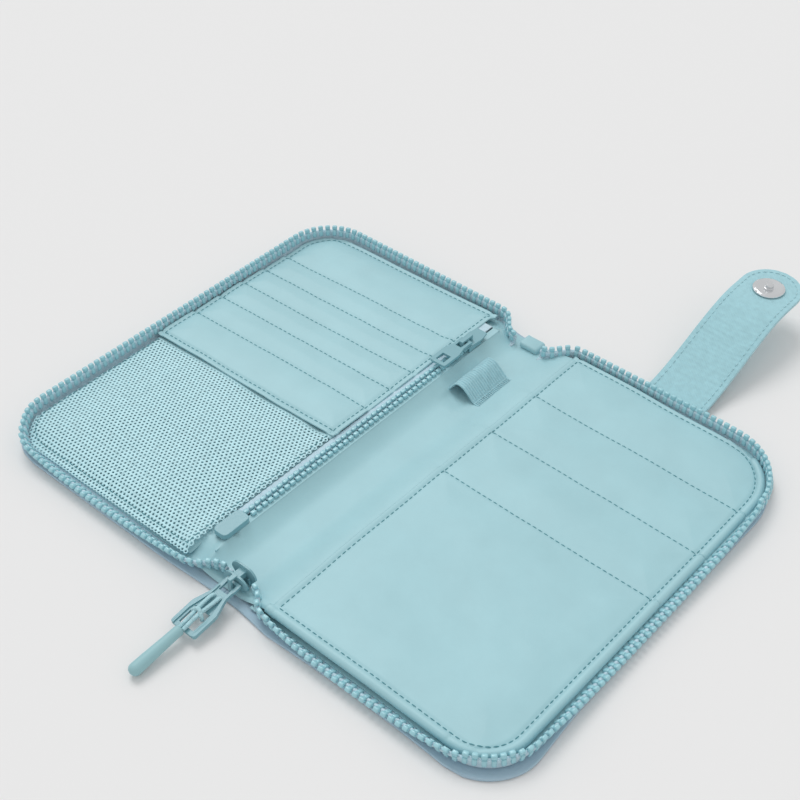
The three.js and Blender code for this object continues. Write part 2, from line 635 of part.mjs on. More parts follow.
const STOP_HIGH_Y = POCKET_CHAIN_LOW_Y - TOUCH_GAP;
const stopOutline = roundedRectangle(POCKET_ZIP_X - STOP_WIDTH / 2, POCKET_ZIP_X + STOP_WIDTH / 2,
  STOP_HIGH_Y - STOP_LENGTH, STOP_HIGH_Y, STOP_CORNER_RADIUS);
addPiece('pocket_zip_stop', plate(shapeOf(stopOutline), POCKET_TAPE_TOP, STOP_HEIGHT), PAINTED);

// Pocket slider: two plates round the chain, joined by a neck in the gap between the teeth
const SLIDER_TOP_Z = POCKET_TAPE_TOP + POCKET_TOOTH_HEIGHT + SLIDER_CLEARANCE;
const SLIDER_HIGH_Y = SLIDER_LOW_Y + SLIDER_LENGTH;
const BAIL_LOW_Z = SLIDER_TOP_Z + SLIDER_PLATE_THICKNESS;
const PULL_Z = BAIL_LOW_Z + SLIDER_CLEARANCE;
const POCKET_PIVOT_Z = PULL_Z + PULL_THICKNESS / 2;

function pocketSlider() {
  const half = SLIDER_WIDTH / 2;
  const nose = SLIDER_NOSE_WIDTH / 2;
  const x = POCKET_ZIP_X;
  const shield = [[x - nose, SLIDER_LOW_Y], [x + nose, SLIDER_LOW_Y], [x + half, SLIDER_HIGH_Y - 5],
    [x + half - 1, SLIDER_HIGH_Y], [x - half + 1, SLIDER_HIGH_Y], [x - half, SLIDER_HIGH_Y - 5]];
  const top = plate(shapeOf(shield), SLIDER_TOP_Z, SLIDER_PLATE_THICKNESS);
  const lowZ = POCKET_TAPE_Z - SLIDER_CLEARANCE - SLIDER_PLATE_THICKNESS;
  const low = plate(shapeOf(roundedRectangle(x - 2.6, x + 2.6, SLIDER_LOW_Y, SLIDER_HIGH_Y, 1)), lowZ,
    SLIDER_PLATE_THICKNESS);
  const neck = block(x - SLIDER_NECK_THICKNESS / 2, x + SLIDER_NECK_THICKNESS / 2,
    SLIDER_HIGH_Y - SLIDER_NECK_LENGTH, SLIDER_HIGH_Y, lowZ + SLIDER_PLATE_THICKNESS / 2,
    SLIDER_TOP_Z + SLIDER_PLATE_THICKNESS / 2);
  const flanges = [-1, 1].map((side) => {
    const near = x + side * (POCKET_CHAIN_GAP / 2 + POCKET_TOOTH_LENGTH + SLIDER_CLEARANCE);
    const far = near + side * SLIDER_FLANGE_THICKNESS;
    return block(Math.min(near, far), Math.max(near, far), SLIDER_LOW_Y + SLIDER_FLANGE_TAIL, SLIDER_HIGH_Y - SLIDER_FLANGE_NOSE,
      POCKET_TAPE_TOP + SLIDER_CLEARANCE, SLIDER_TOP_Z + SLIDER_PLATE_THICKNESS / 2);
  });
  const barZ = PULL_Z + PULL_THICKNESS + SLIDER_CLEARANCE;
  const legs = [-1, 1].map((end) => {
    const y = POCKET_PIVOT_Y + end * BAIL_HALF_LENGTH;
    return block(x - BAIL_WIDTH / 2, x + BAIL_WIDTH / 2, y - BAIL_LEG_LENGTH / 2, y + BAIL_LEG_LENGTH / 2,
      SLIDER_TOP_Z + SLIDER_PLATE_THICKNESS / 2, barZ + BAIL_BAR_THICKNESS);
  });
  const reach = BAIL_HALF_LENGTH + BAIL_LEG_LENGTH / 2;
  const bar = block(x - BAIL_WIDTH / 2, x + BAIL_WIDTH / 2, POCKET_PIVOT_Y - reach, POCKET_PIVOT_Y + reach,
    barZ, barZ + BAIL_BAR_THICKNESS);
  return join([top, low, neck, ...flanges, ...legs, bar]);
}

addPiece('pocket_slider', pocketSlider(), PAINTED);

// A flat pull in its own frame: the eye bar lies on the origin and the tab runs towards -Y
function pullOutline(length, neckWidth, wideFrom, endWidth) {
  const cornerRadius = PULL_CORNER_RADIUS;
  const neck = neckWidth / 2;
  const end = endWidth / 2;
  const low = PULL_EYE_BAR / 2 - length;
  return shapeOf([
    [-neck, PULL_EYE_BAR / 2], [-neck, -wideFrom / 2], [-end, -wideFrom],
    ...arcPoints(-end + cornerRadius, low + cornerRadius, cornerRadius, Math.PI, Math.PI * 1.5, 3),
    ...arcPoints(end - cornerRadius, low + cornerRadius, cornerRadius, Math.PI * 1.5, Math.PI * 2, 3),
    [end, -wideFrom], [neck, -wideFrom / 2], [neck, PULL_EYE_BAR / 2]]);
}

function pullWindow(centreY, width, length, thickness) {
  return block(-width / 2, width / 2, centreY - length / 2, centreY + length / 2, -thickness, thickness * 2);
}

function pullTab(length, neckWidth, wideFrom, endWidth, thickness, window, endBar, eyeWidth) {
  const [windowWidth, windowLength] = window;
  const body = plate(pullOutline(length, neckWidth, wideFrom, endWidth), -thickness / 2, thickness);
  const eye = pullWindow(-(PULL_EYE_BAR + PULL_EYE_LENGTH) / 2, eyeWidth, PULL_EYE_LENGTH, thickness);
  const windowY = PULL_EYE_BAR / 2 - length + endBar + windowLength / 2;
  return cut(body, [eye, pullWindow(windowY, windowWidth, windowLength, thickness)]);
}

const pocketPull = pullTab(POCKET_PULL_LENGTH, POCKET_PULL_NECK_WIDTH, POCKET_PULL_WIDE_FROM, POCKET_PULL_END_WIDTH,
  PULL_THICKNESS, POCKET_PULL_WINDOW, POCKET_PULL_END_BAR, PULL_EYE_WIDTH);
const pocketPullMesh = addPiece('pocket_pull', pocketPull, PAINTED);
pocketPullMesh.position.set(POCKET_ZIP_X, POCKET_PIVOT_Y, POCKET_PIVOT_Z);

// Main slider: it stands on edge at the foot of the spine with its mouths upwards
const MAIN_HALF_GAP = MAIN_SLIDER_GAP / 2;
const MAIN_PIVOT_Y = MAIN_SLIDER_Y - MAIN_HALF_GAP - MAIN_PLATE_THICKNESS - PULL_EYE_BAR / 2 - SLIDER_CLEARANCE;

function standingPlate(lowY, highZ) {
  const topX = MAIN_SLIDER_TOP_WIDTH / 2 - MAIN_SLIDER_TOP_RADIUS;
  const lowX = MAIN_SLIDER_LOW_WIDTH / 2 - MAIN_SLIDER_LOW_RADIUS;
  const topZ = highZ - MAIN_SLIDER_TOP_RADIUS;
  const lowZ = MAIN_SLIDER_LOW_Z + MAIN_SLIDER_LOW_RADIUS;
  const shield = shapeOf([
    ...arcPoints(lowX, lowZ, MAIN_SLIDER_LOW_RADIUS, -Math.PI / 2, 0, 3),
    ...arcPoints(topX, topZ, MAIN_SLIDER_TOP_RADIUS, 0, Math.PI / 2, 7),
    ...arcPoints(-topX, topZ, MAIN_SLIDER_TOP_RADIUS, Math.PI / 2, Math.PI, 7),
    ...arcPoints(-lowX, lowZ, MAIN_SLIDER_LOW_RADIUS, Math.PI, Math.PI * 1.5, 3)]);
  const geometry = new THREE.ExtrudeGeometry(shield, { depth: MAIN_PLATE_THICKNESS, bevelEnabled: false });
  return geometry.rotateX(Math.PI / 2).translate(MAIN_SLIDER_X, lowY + MAIN_PLATE_THICKNESS, 0);
}

function mainSlider() {
  const x = MAIN_SLIDER_X;
  const outerLow = MAIN_SLIDER_Y - MAIN_HALF_GAP - MAIN_PLATE_THICKNESS;
  const innerLow = MAIN_SLIDER_Y + MAIN_HALF_GAP;
  const half = MAIN_PLATE_THICKNESS / 2;
  const post = block(x - MAIN_POST_WIDTH / 2, x + MAIN_POST_WIDTH / 2, outerLow + half, innerLow + half,
    MAIN_FRONT_HIGH_Z - MAIN_POST_HEIGHT, MAIN_FRONT_HIGH_Z - MAIN_FLANGE_INSET);
  const flanges = [-1, 1].flatMap((side) => [
    [outerLow + half, outerLow + MAIN_PLATE_THICKNESS + MAIN_FLANGE_DEPTH],
    [innerLow - MAIN_FLANGE_DEPTH, innerLow + half],
  ].map(([lowY, highY]) => {
    const far = x + side * (MAIN_SLIDER_LOW_WIDTH / 2 - MAIN_FLANGE_INSET);
    const near = far - side * MAIN_FLANGE_THICKNESS;
    return block(Math.min(near, far), Math.max(near, far), lowY, highY,
      MAIN_SLIDER_LOW_Z + MAIN_SLIDER_LOW_RADIUS, MAIN_PIVOT_Z);
  }));
  const barY = outerLow - MAIN_BAIL_REACH;
  const legs = [-1, 1].map((end) => {
    const z = MAIN_PIVOT_Z + end * BAIL_HALF_LENGTH;
    return block(x - BAIL_WIDTH / 2, x + BAIL_WIDTH / 2, barY, outerLow + half, z - BAIL_LEG_LENGTH / 2,
      z + BAIL_LEG_LENGTH / 2);
  });
  const reach = BAIL_HALF_LENGTH + BAIL_LEG_LENGTH / 2;
  const bar = block(x - BAIL_WIDTH / 2, x + BAIL_WIDTH / 2, barY, barY + BAIL_BAR_THICKNESS,
    MAIN_PIVOT_Z - reach, MAIN_PIVOT_Z + reach);
  return join([standingPlate(outerLow, MAIN_FRONT_HIGH_Z), standingPlate(innerLow, MAIN_SLIDER_HIGH_Z), post,
    ...flanges, ...legs, bar]);
}

addPiece('main_slider', mainSlider(), PAINTED);

// Main pull: a plate between two raised rails, with a cord loop that carries a rubber grip
const pullGroup = new THREE.Group();
pullGroup.position.set(MAIN_SLIDER_X, MAIN_PIVOT_Y, MAIN_PIVOT_Z);
pullGroup.rotation.x = THREE.MathUtils.degToRad(MAIN_PULL_SLOPE_DEG);
wallet.add(pullGroup);

function mainPull() {
  const tab = pullTab(MAIN_PULL_LENGTH, MAIN_PULL_NECK_WIDTH, MAIN_PULL_WIDE_FROM, MAIN_PULL_END_WIDTH,
    MAIN_PULL_THICKNESS, MAIN_PULL_WINDOW, MAIN_PULL_END_BAR, MAIN_EYE_WIDTH);
  const outline = pullOutline(MAIN_PULL_LENGTH, MAIN_PULL_NECK_WIDTH, MAIN_PULL_WIDE_FROM, MAIN_PULL_END_WIDTH);
  const railZ = MAIN_PULL_THICKNESS / 2 - 0.1;
  const rim = plate(outline, railZ, MAIN_RAIL_RISE);
  const share = 1 - 2 * MAIN_RAIL_WIDTH / MAIN_PULL_END_WIDTH;
  const inside = plate(outline, railZ - 1, MAIN_RAIL_RISE + 2).scale(share, 1.2, 1);
  const eyeEnd = block(-MAIN_PULL_END_WIDTH, MAIN_PULL_END_WIDTH, -MAIN_RAIL_START, MAIN_PULL_LENGTH, -5, 5);
  return join([tab, cut(rim, [inside, eyeEnd])]);
}

const pullMesh = addPiece('main_pull', mainPull(), PAINTED);
pullGroup.add(pullMesh);

// The cord runs from its two holes near the slider, over the window and the end bar, to the grip
const CORD_Z = MAIN_PULL_THICKNESS / 2 + TOUCH_GAP + CORD_DIAMETER / 2;
const PULL_END = MAIN_PULL_LENGTH - PULL_EYE_BAR / 2;
const GRIP_START = PULL_END + GRIP_GAP;
const WINDOW_MIDDLE = PULL_END - MAIN_PULL_END_BAR - MAIN_PULL_WINDOW[1] / 2;

function cordLoop() {
  const half = CORD_SPACING / 2;
  const startHalf = CORD_START_SPACING / 2;
  const strand = [[startHalf * 0.6, -CORD_START, CORD_Z], [startHalf, -CORD_START - CORD_BEND, CORD_Z],
    [half, -WINDOW_MIDDLE, CORD_Z + CORD_CROWN], [half, TOUCH_GAP - GRIP_START, CORD_Z]];
  const points = [...[...strand].reverse(), ...strand.map(([x, y, z]) => [-x, y, z])];
  const route = new THREE.CatmullRomCurve3(points.map((point) => new THREE.Vector3(...point)));
  const section = shapeOf(arcPoints(0, 0, CORD_DIAMETER / 2, 0, Math.PI * 2, CORD_SIDES).slice(0, -1));
  return orientOut(new THREE.ExtrudeGeometry(section,
    { steps: CORD_STEPS, bevelEnabled: false, extrudePath: route }));
}

const cordMesh = addPiece('pull_cord_loop', cordLoop(), TAPE);
pullGroup.add(cordMesh);

// Rubber grip: a rounded bar that thickens from the cord to its far end, which lies on the table
function grip() {
  const far = -GRIP_LENGTH;
  const profile = [[0, 0], [GRIP_NEAR_RADIUS * 0.8, 0], [GRIP_NEAR_RADIUS, -GRIP_SHOULDER],
    ...arcPoints(0, far + GRIP_FAR_RADIUS, GRIP_FAR_RADIUS, 0, -Math.PI / 2, 4)];
  const points = profile.map(([radius, y]) => new THREE.Vector2(Math.max(radius, 0), y)).reverse();
  points[0].x = 0;
  const bar = new THREE.LatheGeometry(points, GRIP_SIDES);
  return orientOut(toGeometry(toSolid(bar)));
}

const gripMesh = addPiece('pull_grip', grip(), RUBBER);
const slope = THREE.MathUtils.degToRad(MAIN_PULL_SLOPE_DEG);
const GRIP_NEAR_Y = MAIN_PIVOT_Y - GRIP_START * Math.cos(slope) - CORD_Z * Math.sin(slope);
const GRIP_NEAR_Z = MAIN_PIVOT_Z - GRIP_START * Math.sin(slope) + CORD_Z * Math.cos(slope);
gripMesh.position.set(MAIN_SLIDER_X, GRIP_NEAR_Y, GRIP_NEAR_Z);
gripMesh.rotation.x = Math.asin((GRIP_NEAR_Z - GRIP_REST_Z) / GRIP_LENGTH);

// Pen loop: ribbed webbing arched over the spine on two sewn feet
function penLoop() {
  const baseZ = SHELL_THICKNESS + SPINE_LINING_THICKNESS;
  const inner = LOOP_HALF_WIDTH - LOOP_FOOT_WIDTH;
  const crest = LOOP_CREST_Z - baseZ;
  const outline = new THREE.SplineCurve([[-inner, LOOP_THICKNESS], [LOOP_CREST_X - 2.4, crest * 0.82],
    [LOOP_CREST_X, crest], [LOOP_CREST_X + 3.2, crest * 0.86], [inner, LOOP_THICKNESS]]
    .map((point) => new THREE.Vector2(...point))).getPoints(14);
  const upper = outline.map(({ x, y }) => [x, y]);
  const lower = outline.map(({ x, y }, i) => {
    const before = outline[Math.max(0, i - 1)];
    const after = outline[Math.min(outline.length - 1, i + 1)];
    const along = new THREE.Vector2(after.x - before.x, after.y - before.y).normalize();
    return [x + along.y * LOOP_THICKNESS, Math.max(y - along.x * LOOP_THICKNESS, 0)];
  }).filter(([, y]) => y > 0.05).reverse();
  const profile = [[-LOOP_HALF_WIDTH, 0], [-LOOP_HALF_WIDTH, LOOP_THICKNESS], ...upper,
    [LOOP_HALF_WIDTH, LOOP_THICKNESS], [LOOP_HALF_WIDTH, 0], [lower[0][0], 0], ...lower,
    [lower[lower.length - 1][0], 0]];
  const arch = new THREE.ExtrudeGeometry(shapeOf(profile), { depth: LOOP_LENGTH, bevelEnabled: false });
  return arch.rotateX(Math.PI / 2).translate(0, LOOP_LOW_Y + LOOP_LENGTH, baseZ);
}

addPiece('pen_loop', penLoop(), TAPE);

// Snap strap: two webbing layers that rise from the right cover's far edge to the stud
function strapRise(y) {
  const share = (y - STRAP_ROOT_Y) / (STRAP_STUD_Y - STUD_RADIUS - STRAP_ROOT_Y);
  const eased = Math.min(share, 1);
  return (STRAP_STUD_Z - STRAP_ROOT_Z) * (eased * eased * (3 - 2 * eased));
}

function strapLayer(lowZ) {
  const half = STRAP_WIDTH / 2;
  const outline = [[STRAP_CENTRE_X - half, STRAP_ROOT_Y], [STRAP_CENTRE_X + half, STRAP_ROOT_Y],
    ...arcPoints(STRAP_CENTRE_X, STRAP_TIP_Y - half, half, 0, Math.PI, 10)];
  const whole = toSolid(plate(shapeOf(outline), lowZ, STRAP_LAYER_THICKNESS));
  const bounds = whole.boundingBox();
  const step = (bounds.max[1] - bounds.min[1]) / STRAP_STEPS;
  const slices = Array.from({ length: STRAP_STEPS }, (_, i) => block(STRAP_CENTRE_X - half - 1,
    STRAP_CENTRE_X + half + 1, STRAP_ROOT_Y + i * step, STRAP_ROOT_Y + (i + 1) * step, lowZ - 1, lowZ + 2));
  const pieces = slices.map((slice) => whole.intersect(toSolid(slice)));
  const geometry = toGeometry(pieces.reduce((sum, piece) => sum.add(piece)));
  const position = geometry.attributes.position;
  for (let i = 0; i < position.count; i += 1) {
    position.setZ(i, position.getZ(i) + strapRise(position.getY(i)));
  }
  return geometry;
}

addPiece('strap_back', strapLayer(STRAP_ROOT_Z), TAPE);
addPiece('strap_face', strapLayer(STRAP_ROOT_Z + STRAP_LAYER_THICKNESS + SHEET_GAP), TAPE);

function disc(points) {
  const spots = points.map(([radius, z]) => new THREE.Vector2(radius, z));
  return orientOut(toGeometry(toSolid(new THREE.LatheGeometry(spots, 24).rotateX(Math.PI / 2))));
}

const STRAP_TOP_Z = STRAP_STUD_Z + 2 * STRAP_LAYER_THICKNESS + SHEET_GAP;
const stud = disc([[0, 0], [STUD_RADIUS, 0], [STUD_RADIUS, STUD_HEIGHT * 0.5], [STUD_RIM_RADIUS, STUD_HEIGHT],
  [STUD_NUB_RADIUS, STUD_HEIGHT * 0.8], [STUD_NUB_RADIUS, STUD_HEIGHT + STUD_NUB_HEIGHT * 0.7],
  [STUD_NUB_RADIUS * 0.6, STUD_HEIGHT + STUD_NUB_HEIGHT], [0, STUD_HEIGHT + STUD_NUB_HEIGHT]]);
addPiece('snap_stud', stud, METAL).position.set(STRAP_CENTRE_X, STRAP_STUD_Y, STRAP_TOP_Z + TOUCH_GAP);
const cap = disc([[0, 0], [CAP_RADIUS * 0.7, 0], [CAP_RADIUS, CAP_THICKNESS * 0.6], [CAP_RADIUS, CAP_THICKNESS],
  [0, CAP_THICKNESS]]);
addPiece('snap_cap', cap, METAL).position.set(STRAP_CENTRE_X, STRAP_STUD_Y, STRAP_STUD_Z - TOUCH_GAP - CAP_THICKNESS);

export default wallet;
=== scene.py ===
import math
from collections import namedtuple

import bmesh
import bpy
import numpy as np
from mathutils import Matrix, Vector, noise


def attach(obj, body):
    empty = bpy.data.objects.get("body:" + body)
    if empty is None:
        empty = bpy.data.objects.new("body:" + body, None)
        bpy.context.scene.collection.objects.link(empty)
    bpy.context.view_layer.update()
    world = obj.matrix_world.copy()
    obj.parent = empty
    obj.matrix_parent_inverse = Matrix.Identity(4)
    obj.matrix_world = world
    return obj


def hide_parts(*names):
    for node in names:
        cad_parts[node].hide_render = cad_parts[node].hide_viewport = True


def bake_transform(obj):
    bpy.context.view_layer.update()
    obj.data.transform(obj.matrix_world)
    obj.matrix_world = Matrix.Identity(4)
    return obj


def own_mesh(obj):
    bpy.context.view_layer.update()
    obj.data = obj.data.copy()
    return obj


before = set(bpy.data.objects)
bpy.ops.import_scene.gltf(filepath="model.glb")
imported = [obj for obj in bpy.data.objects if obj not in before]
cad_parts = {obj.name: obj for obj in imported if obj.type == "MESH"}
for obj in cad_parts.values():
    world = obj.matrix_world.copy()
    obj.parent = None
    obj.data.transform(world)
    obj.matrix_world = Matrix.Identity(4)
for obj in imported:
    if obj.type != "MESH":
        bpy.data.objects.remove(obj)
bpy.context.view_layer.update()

MM = 0.001

# Camera, fitted to the photograph
CAMERA_AZIMUTH = 41.02
CAMERA_ELEVATION = 41.89
CAMERA_DISTANCE = 0.6233
CAMERA_LENS = 65.19
CAMERA_SENSOR = 36.0
CAMERA_TARGET = Vector((-0.0221, 0.02835, 0.0))

# Sizes in millimetres, most of them those of the solids
SIDE = {"left": -1, "right": 1}
COVER_OUTER_X = 133.5
COVER_HIGH_Y = 101.0
LOW_Y = {"left": -100.0, "right": -101.5}
COVER_RADIUS = 24.0
ZIP_INSET = 3.6
TAPE_BASE_Z = 1.7
TAPE_LENGTH = {"left": 5.1, "right": 4.2}
TOOTH_PITCH = 3.25
CHAIN_START_X = 22.5
CHAIN_LOW_END = {"left": (-3.6, -91.0), "right": (9.6, -91.0)}
CHAIN_HIGH_END = {"left": (-5.6, 87.5), "right": (8.2, 87.5)}
PANEL_LOW_Y = -94.0
PANEL_HIGH_Y = 95.2
PANEL_RADIUS = 17.0
FAR_CORNER_EXTRA = {"left": 0.0, "right": 8.0}
LEFT_INNER_X = 21.6
LEFT_OUTER_X = 128.8
RIGHT_INNER_X = 21.8
RIGHT_OUTER_X = 125.4
PANEL_TOP_Z = 3.7
LEFT_RISE = 2.7
RIGHT_RISE = 2.6
SLOT_STEP = 0.5
LEFT_SLOTS = (67.3, 52.8, 38.5, 24.1, 8.4)
LEFT_HEM_Y = -11.2
LEFT_SLOT_BOTTOM = -14.0
RIGHT_SLOTS = (62.8, 32.9, 1.8)
STITCH_INSET = 1.9
INNER_STITCH_INSET = 2.6
SPINE_TOP_Z = 2.9
POCKET_ZIP_X = -17.0
POCKET_TAPE_TOP = 7.9
POCKET_EDGE_Z = 8.3

# Finishes


def rgb(red, green, blue):
    """A colour given as it looks on screen, as the linear values that the shader takes."""
    def linear(value):
        share = value / 255
        return share / 12.92 if share <= 0.04045 else ((share + 0.055) / 1.055) ** 2.4
    return (linear(red), linear(green), linear(blue), 1.0)


def node(tree, kind, **values):
    made = tree.nodes.new(kind)
    for name, value in values.items():
        if name in made.inputs:
            made.inputs[name].default_value = value
        else:
            setattr(made, name, value)
    return made


def finish_of(name, base, rough, sheen=0.0, metallic=0.0, mottle=0.03, mottle_scale=60.0, coat=0.0):
    """A material whose colour drifts a little over the surface, ready for a bump."""
    made = bpy.data.materials.new(name)
    made.use_nodes = True
    tree = made.node_tree
    shader = tree.nodes["Principled BSDF"]
    shader.inputs["Roughness"].default_value = rough
    shader.inputs["Metallic"].default_value = metallic
    shader.inputs["Sheen Weight"].default_value = sheen
    shader.inputs["Coat Weight"].default_value = coat
    spots = node(tree, "ShaderNodeTexCoord")
    drift = node(tree, "ShaderNodeTexNoise", Scale=mottle_scale, Detail=3.0)
    ramp = node(tree, "ShaderNodeValToRGB")
    tree.links.new(spots.outputs["Object"], drift.inputs["Vector"])
    tree.links.new(drift.outputs["Fac"], ramp.inputs["Fac"])
    darker, lighter = ramp.color_ramp.elements
    darker.position = 0.3
    lighter.position = 0.7
    darker.color = [v * (1 - mottle) for v in base[:3]] + [1.0]
    lighter.color = [min(1.0, v * (1 + mottle)) for v in base[:3]] + [1.0]
    tree.links.new(ramp.outputs["Color"], shader.inputs["Base Color"])
    return made, tree, shader, spots


def add_bump(tree, shader, height, distance, strength=1.0):
    bump = node(tree, "ShaderNodeBump", Strength=strength, Distance=distance)
    tree.links.new(height, bump.inputs["Height"])
    tree.links.new(bump.outputs["Normal"], shader.inputs["Normal"])


def crossed_waves(tree, spots, pitch, first="X", second="Y"):
    """Two sets of ridges at right angles, as in a plain weave."""
    outs = []
    for direction in (first, second):
        wave = node(tree, "ShaderNodeTexWave", Scale=2 * math.pi / (20 * pitch), Distortion=0.4)
        wave.bands_direction = direction
        tree.links.new(spots.outputs["Object"], wave.inputs["Vector"])
        outs.append(wave.outputs["Fac"])
    total = node(tree, "ShaderNodeMath", operation="MULTIPLY")
    tree.links.new(outs[0], total.inputs[0])
    tree.links.new(outs[1], total.inputs[1])
    return total.outputs[0]


def coated_lining():
    made, tree, shader, spots = finish_of("coated_lining", rgb(160, 203, 211), 0.45, sheen=0.1)
    weave = crossed_waves(tree, spots, 0.35 * MM)
    wrinkle = node(tree, "ShaderNodeTexNoise", Scale=140.0, Detail=4.0)
    tree.links.new(spots.outputs["Object"], wrinkle.inputs["Vector"])
    weave_share = 0.15
    total = node(tree, "ShaderNodeMath", operation="MULTIPLY_ADD")
    total.inputs[1].default_value = weave_share
    tree.links.new(weave, total.inputs[0])
    tree.links.new(wrinkle.outputs["Fac"], total.inputs[2])
    add_bump(tree, shader, total.outputs[0], 0.25 * MM, 0.5)
    return made


def shell_cloth():
    made, tree, shader, spots = finish_of("shell_cloth", rgb(168, 196, 212), 0.75, sheen=0.2)
    add_bump(tree, shader, crossed_waves(tree, spots, 0.5 * MM), 0.12 * MM, 0.8)
    return made


def woven(name, base, pitch, rough=0.85, depth=0.15):
    made, tree, shader, spots = finish_of(name, base, rough, sheen=0.3, mottle=0.06, mottle_scale=400.0)
    add_bump(tree, shader, crossed_waves(tree, spots, pitch, "DIAGONAL", "Z"), depth * MM, 1.0)
    return made


def moulded(name, base, rough, coat=0.0, metallic=0.0, grain=0.03):
    made, tree, shader, spots = finish_of(name, base, rough, coat=coat, metallic=metallic)
    speckle = node(tree, "ShaderNodeTexNoise", Scale=900.0, Detail=2.0)
    tree.links.new(spots.outputs["Object"], speckle.inputs["Vector"])
    add_bump(tree, shader, speckle.outputs["Fac"], grain * MM, 0.5)
    return made


LINING = coated_lining()
SHELL = shell_cloth()
TAPE = woven("zip_tape", rgb(192, 219, 231), 0.55 * MM)
WEBBING = woven("ribbed_webbing", rgb(158, 204, 214), 0.4 * MM, depth=0.08)
TWILL = woven("strap_twill", rgb(160, 205, 214), 0.8 * MM, depth=0.12)
NET = woven("knitted_net", rgb(190, 232, 240), 0.5 * MM, rough=0.7, depth=0.05)
TEETH = moulded("moulded_teeth", rgb(156, 207, 217), 0.3, coat=0.3)
ENAMEL = moulded("satin_enamel", rgb(124, 172, 182), 0.4, coat=0.2)
RUBBER = moulded("soft_rubber", rgb(150, 192, 198), 0.5, grain=0.05)
NICKEL = moulded("bright_nickel", rgb(222, 224, 226), 0.2, metallic=1.0, grain=0.01)
BOARD = moulded("stiffener_board", rgb(150, 146, 138), 0.9)
# The stitch thread's dark teal is painted shade: it stands in for the shadow on the thread sunk in its
# seams.
THREAD_PAINTED_SHADE = moulded("stitch_thread_painted_shade", rgb(92, 150, 160), 0.7)
CORD = woven("braided_cord", rgb(172, 214, 222), 0.7 * MM, depth=0.2)

# Mesh helpers


def new_piece(name, points, faces, material):
    """A smooth mesh from points in millimetres."""
    mesh = bpy.data.meshes.new(name)
    mesh.from_pydata([tuple(v * MM for v in point) for point in points], [], faces)
    mesh.validate()
    mesh.update()
    mesh.polygons.foreach_set("use_smooth", [True] * len(mesh.polygons))
    mesh.materials.append(material)
    piece = bpy.data.objects.new(name, mesh)
    bpy.context.collection.objects.link(piece)
    return piece


def modifier(piece, kind, **values):
    made = piece.modifiers.new(kind.lower(), kind)
    for name, value in values.items():
        setattr(made, name, value)
    return made


def thicken(piece, thickness, offset=-1.0):
    modifier(piece, "SOLIDIFY", thickness=thickness * MM, offset=offset)


def round_edges(piece, width, segments, over_angle):
    modifier(piece, "BEVEL", width=width, segments=segments, limit_method="ANGLE",
             angle_limit=math.radians(over_angle))


def grid_faces(rows, columns, closed=False):
    faces = []
    for row in range(rows - 1):
        near = row * columns
        for column in range(columns if closed else columns - 1):
            after = (column + 1) % columns
            faces.append((near + column, near + after, near + columns + after, near + columns + column))
    return faces


def capped_faces(rows, sides):
    """The faces round a tube and over both of its ends."""
    last = (rows - 1) * sides
    ends = [tuple(range(sides - 1, -1, -1)), tuple(range(last, last + sides))]
    return grid_faces(rows, sides, closed=True) + ends


def tube(points, radius, sides):
    """Points and faces of a round tube along a list of points; the radius may be a function of the share."""
    path = np.array(points, float)
    tangents = np.gradient(path, axis=0)
    tangents /= np.linalg.norm(tangents, axis=1)[:, None]
    side = np.cross(tangents[0], (0.0, 0.0, 1.0))
    if np.linalg.norm(side) < 0.1:
        side = np.array((1.0, 0.0, 0.0))
    made = []
    for i, (spot, tangent) in enumerate(zip(path, tangents)):
        side = side - tangent * np.dot(side, tangent)
        side /= np.linalg.norm(side)
        up = np.cross(side, tangent)
        size = radius(i / (len(path) - 1)) if callable(radius) else radius
        for k in range(sides):
            angle = 2 * math.pi * k / sides
            made.append(tuple(spot + size * (math.cos(angle) * side + math.sin(angle) * up)))
    return made, capped_faces(len(path), sides)


class Cluster:
    """Collects many small forms into one mesh."""

    def __init__(self):
        self.points = []
        self.faces = []

    def add(self, points, faces):
        base = len(self.points)
        self.points.extend(points)
        self.faces.extend(tuple(base + i for i in face) for face in faces)

    def build(self, name, material):
        return new_piece(name, self.points, self.faces, material)


def rounded_block(size, bevel, segments=2):
    """A bevelled block centred on the origin, as arrays in millimetres."""
    made = bmesh.new()
    bmesh.ops.create_cube(made, size=1.0)
    for vert in made.verts:
        vert.co = Vector((vert.co.x * size[0], vert.co.y * size[1], vert.co.z * size[2]))
    bmesh.ops.bevel(made, geom=made.edges[:], offset=bevel, segments=segments, affect="EDGES", profile=0.6)
    made.verts.index_update()
    points = np.array([tuple(vert.co) for vert in made.verts])
    faces = [tuple(vert.index for vert in face.verts) for face in made.faces]
    made.free()
    return points, faces


def length_marks(route):
    """How far along a path each of its points lies."""
    return np.concatenate([[0.0], np.cumsum(np.linalg.norm(np.diff(route, axis=0), axis=1))])


def place_at(route, marks, at):
    return np.array([np.interp(at, marks, route[:, 0]), np.interp(at, marks, route[:, 1])])


def smoothstep(value):
    share = min(max(value, 0.0), 1.0)
    return share * share * (3 - 2 * share)


def plateau(value, low, low_fade, high, high_fade):
    """One between two places, fading to nought inwards of each."""
    return smoothstep((value - low) / low_fade) * smoothstep((high - value) / high_fade)


def drift(x, y, scale, size, seed=0.0):
    """Soft unevenness of cloth."""
    return size * noise.noise(Vector((x / scale, y / scale, seed)))


# Panel surfaces: height in millimetres at a place on the cover


def outer_edge(y, outer, low=PANEL_LOW_Y, high=PANEL_HIGH_Y, radius=PANEL_RADIUS, far_extra=0.0):
    """How far out the rounded panel reaches at this y."""
    if y > (low + high) / 2:
        radius = radius + far_extra
    over = min(max(low + radius - y, y - (high - radius), 0.0), radius)
    return outer - radius + math.sqrt(max(radius * radius - over * over, 0.0))


def seam_dip(gap, depth=0.42, width=0.9):
    return -depth * math.exp(-(gap / width) ** 2)


def pillow(gap, size=0.7, width=6.0):
    return size * (1 - math.exp(-(gap / width) ** 2))


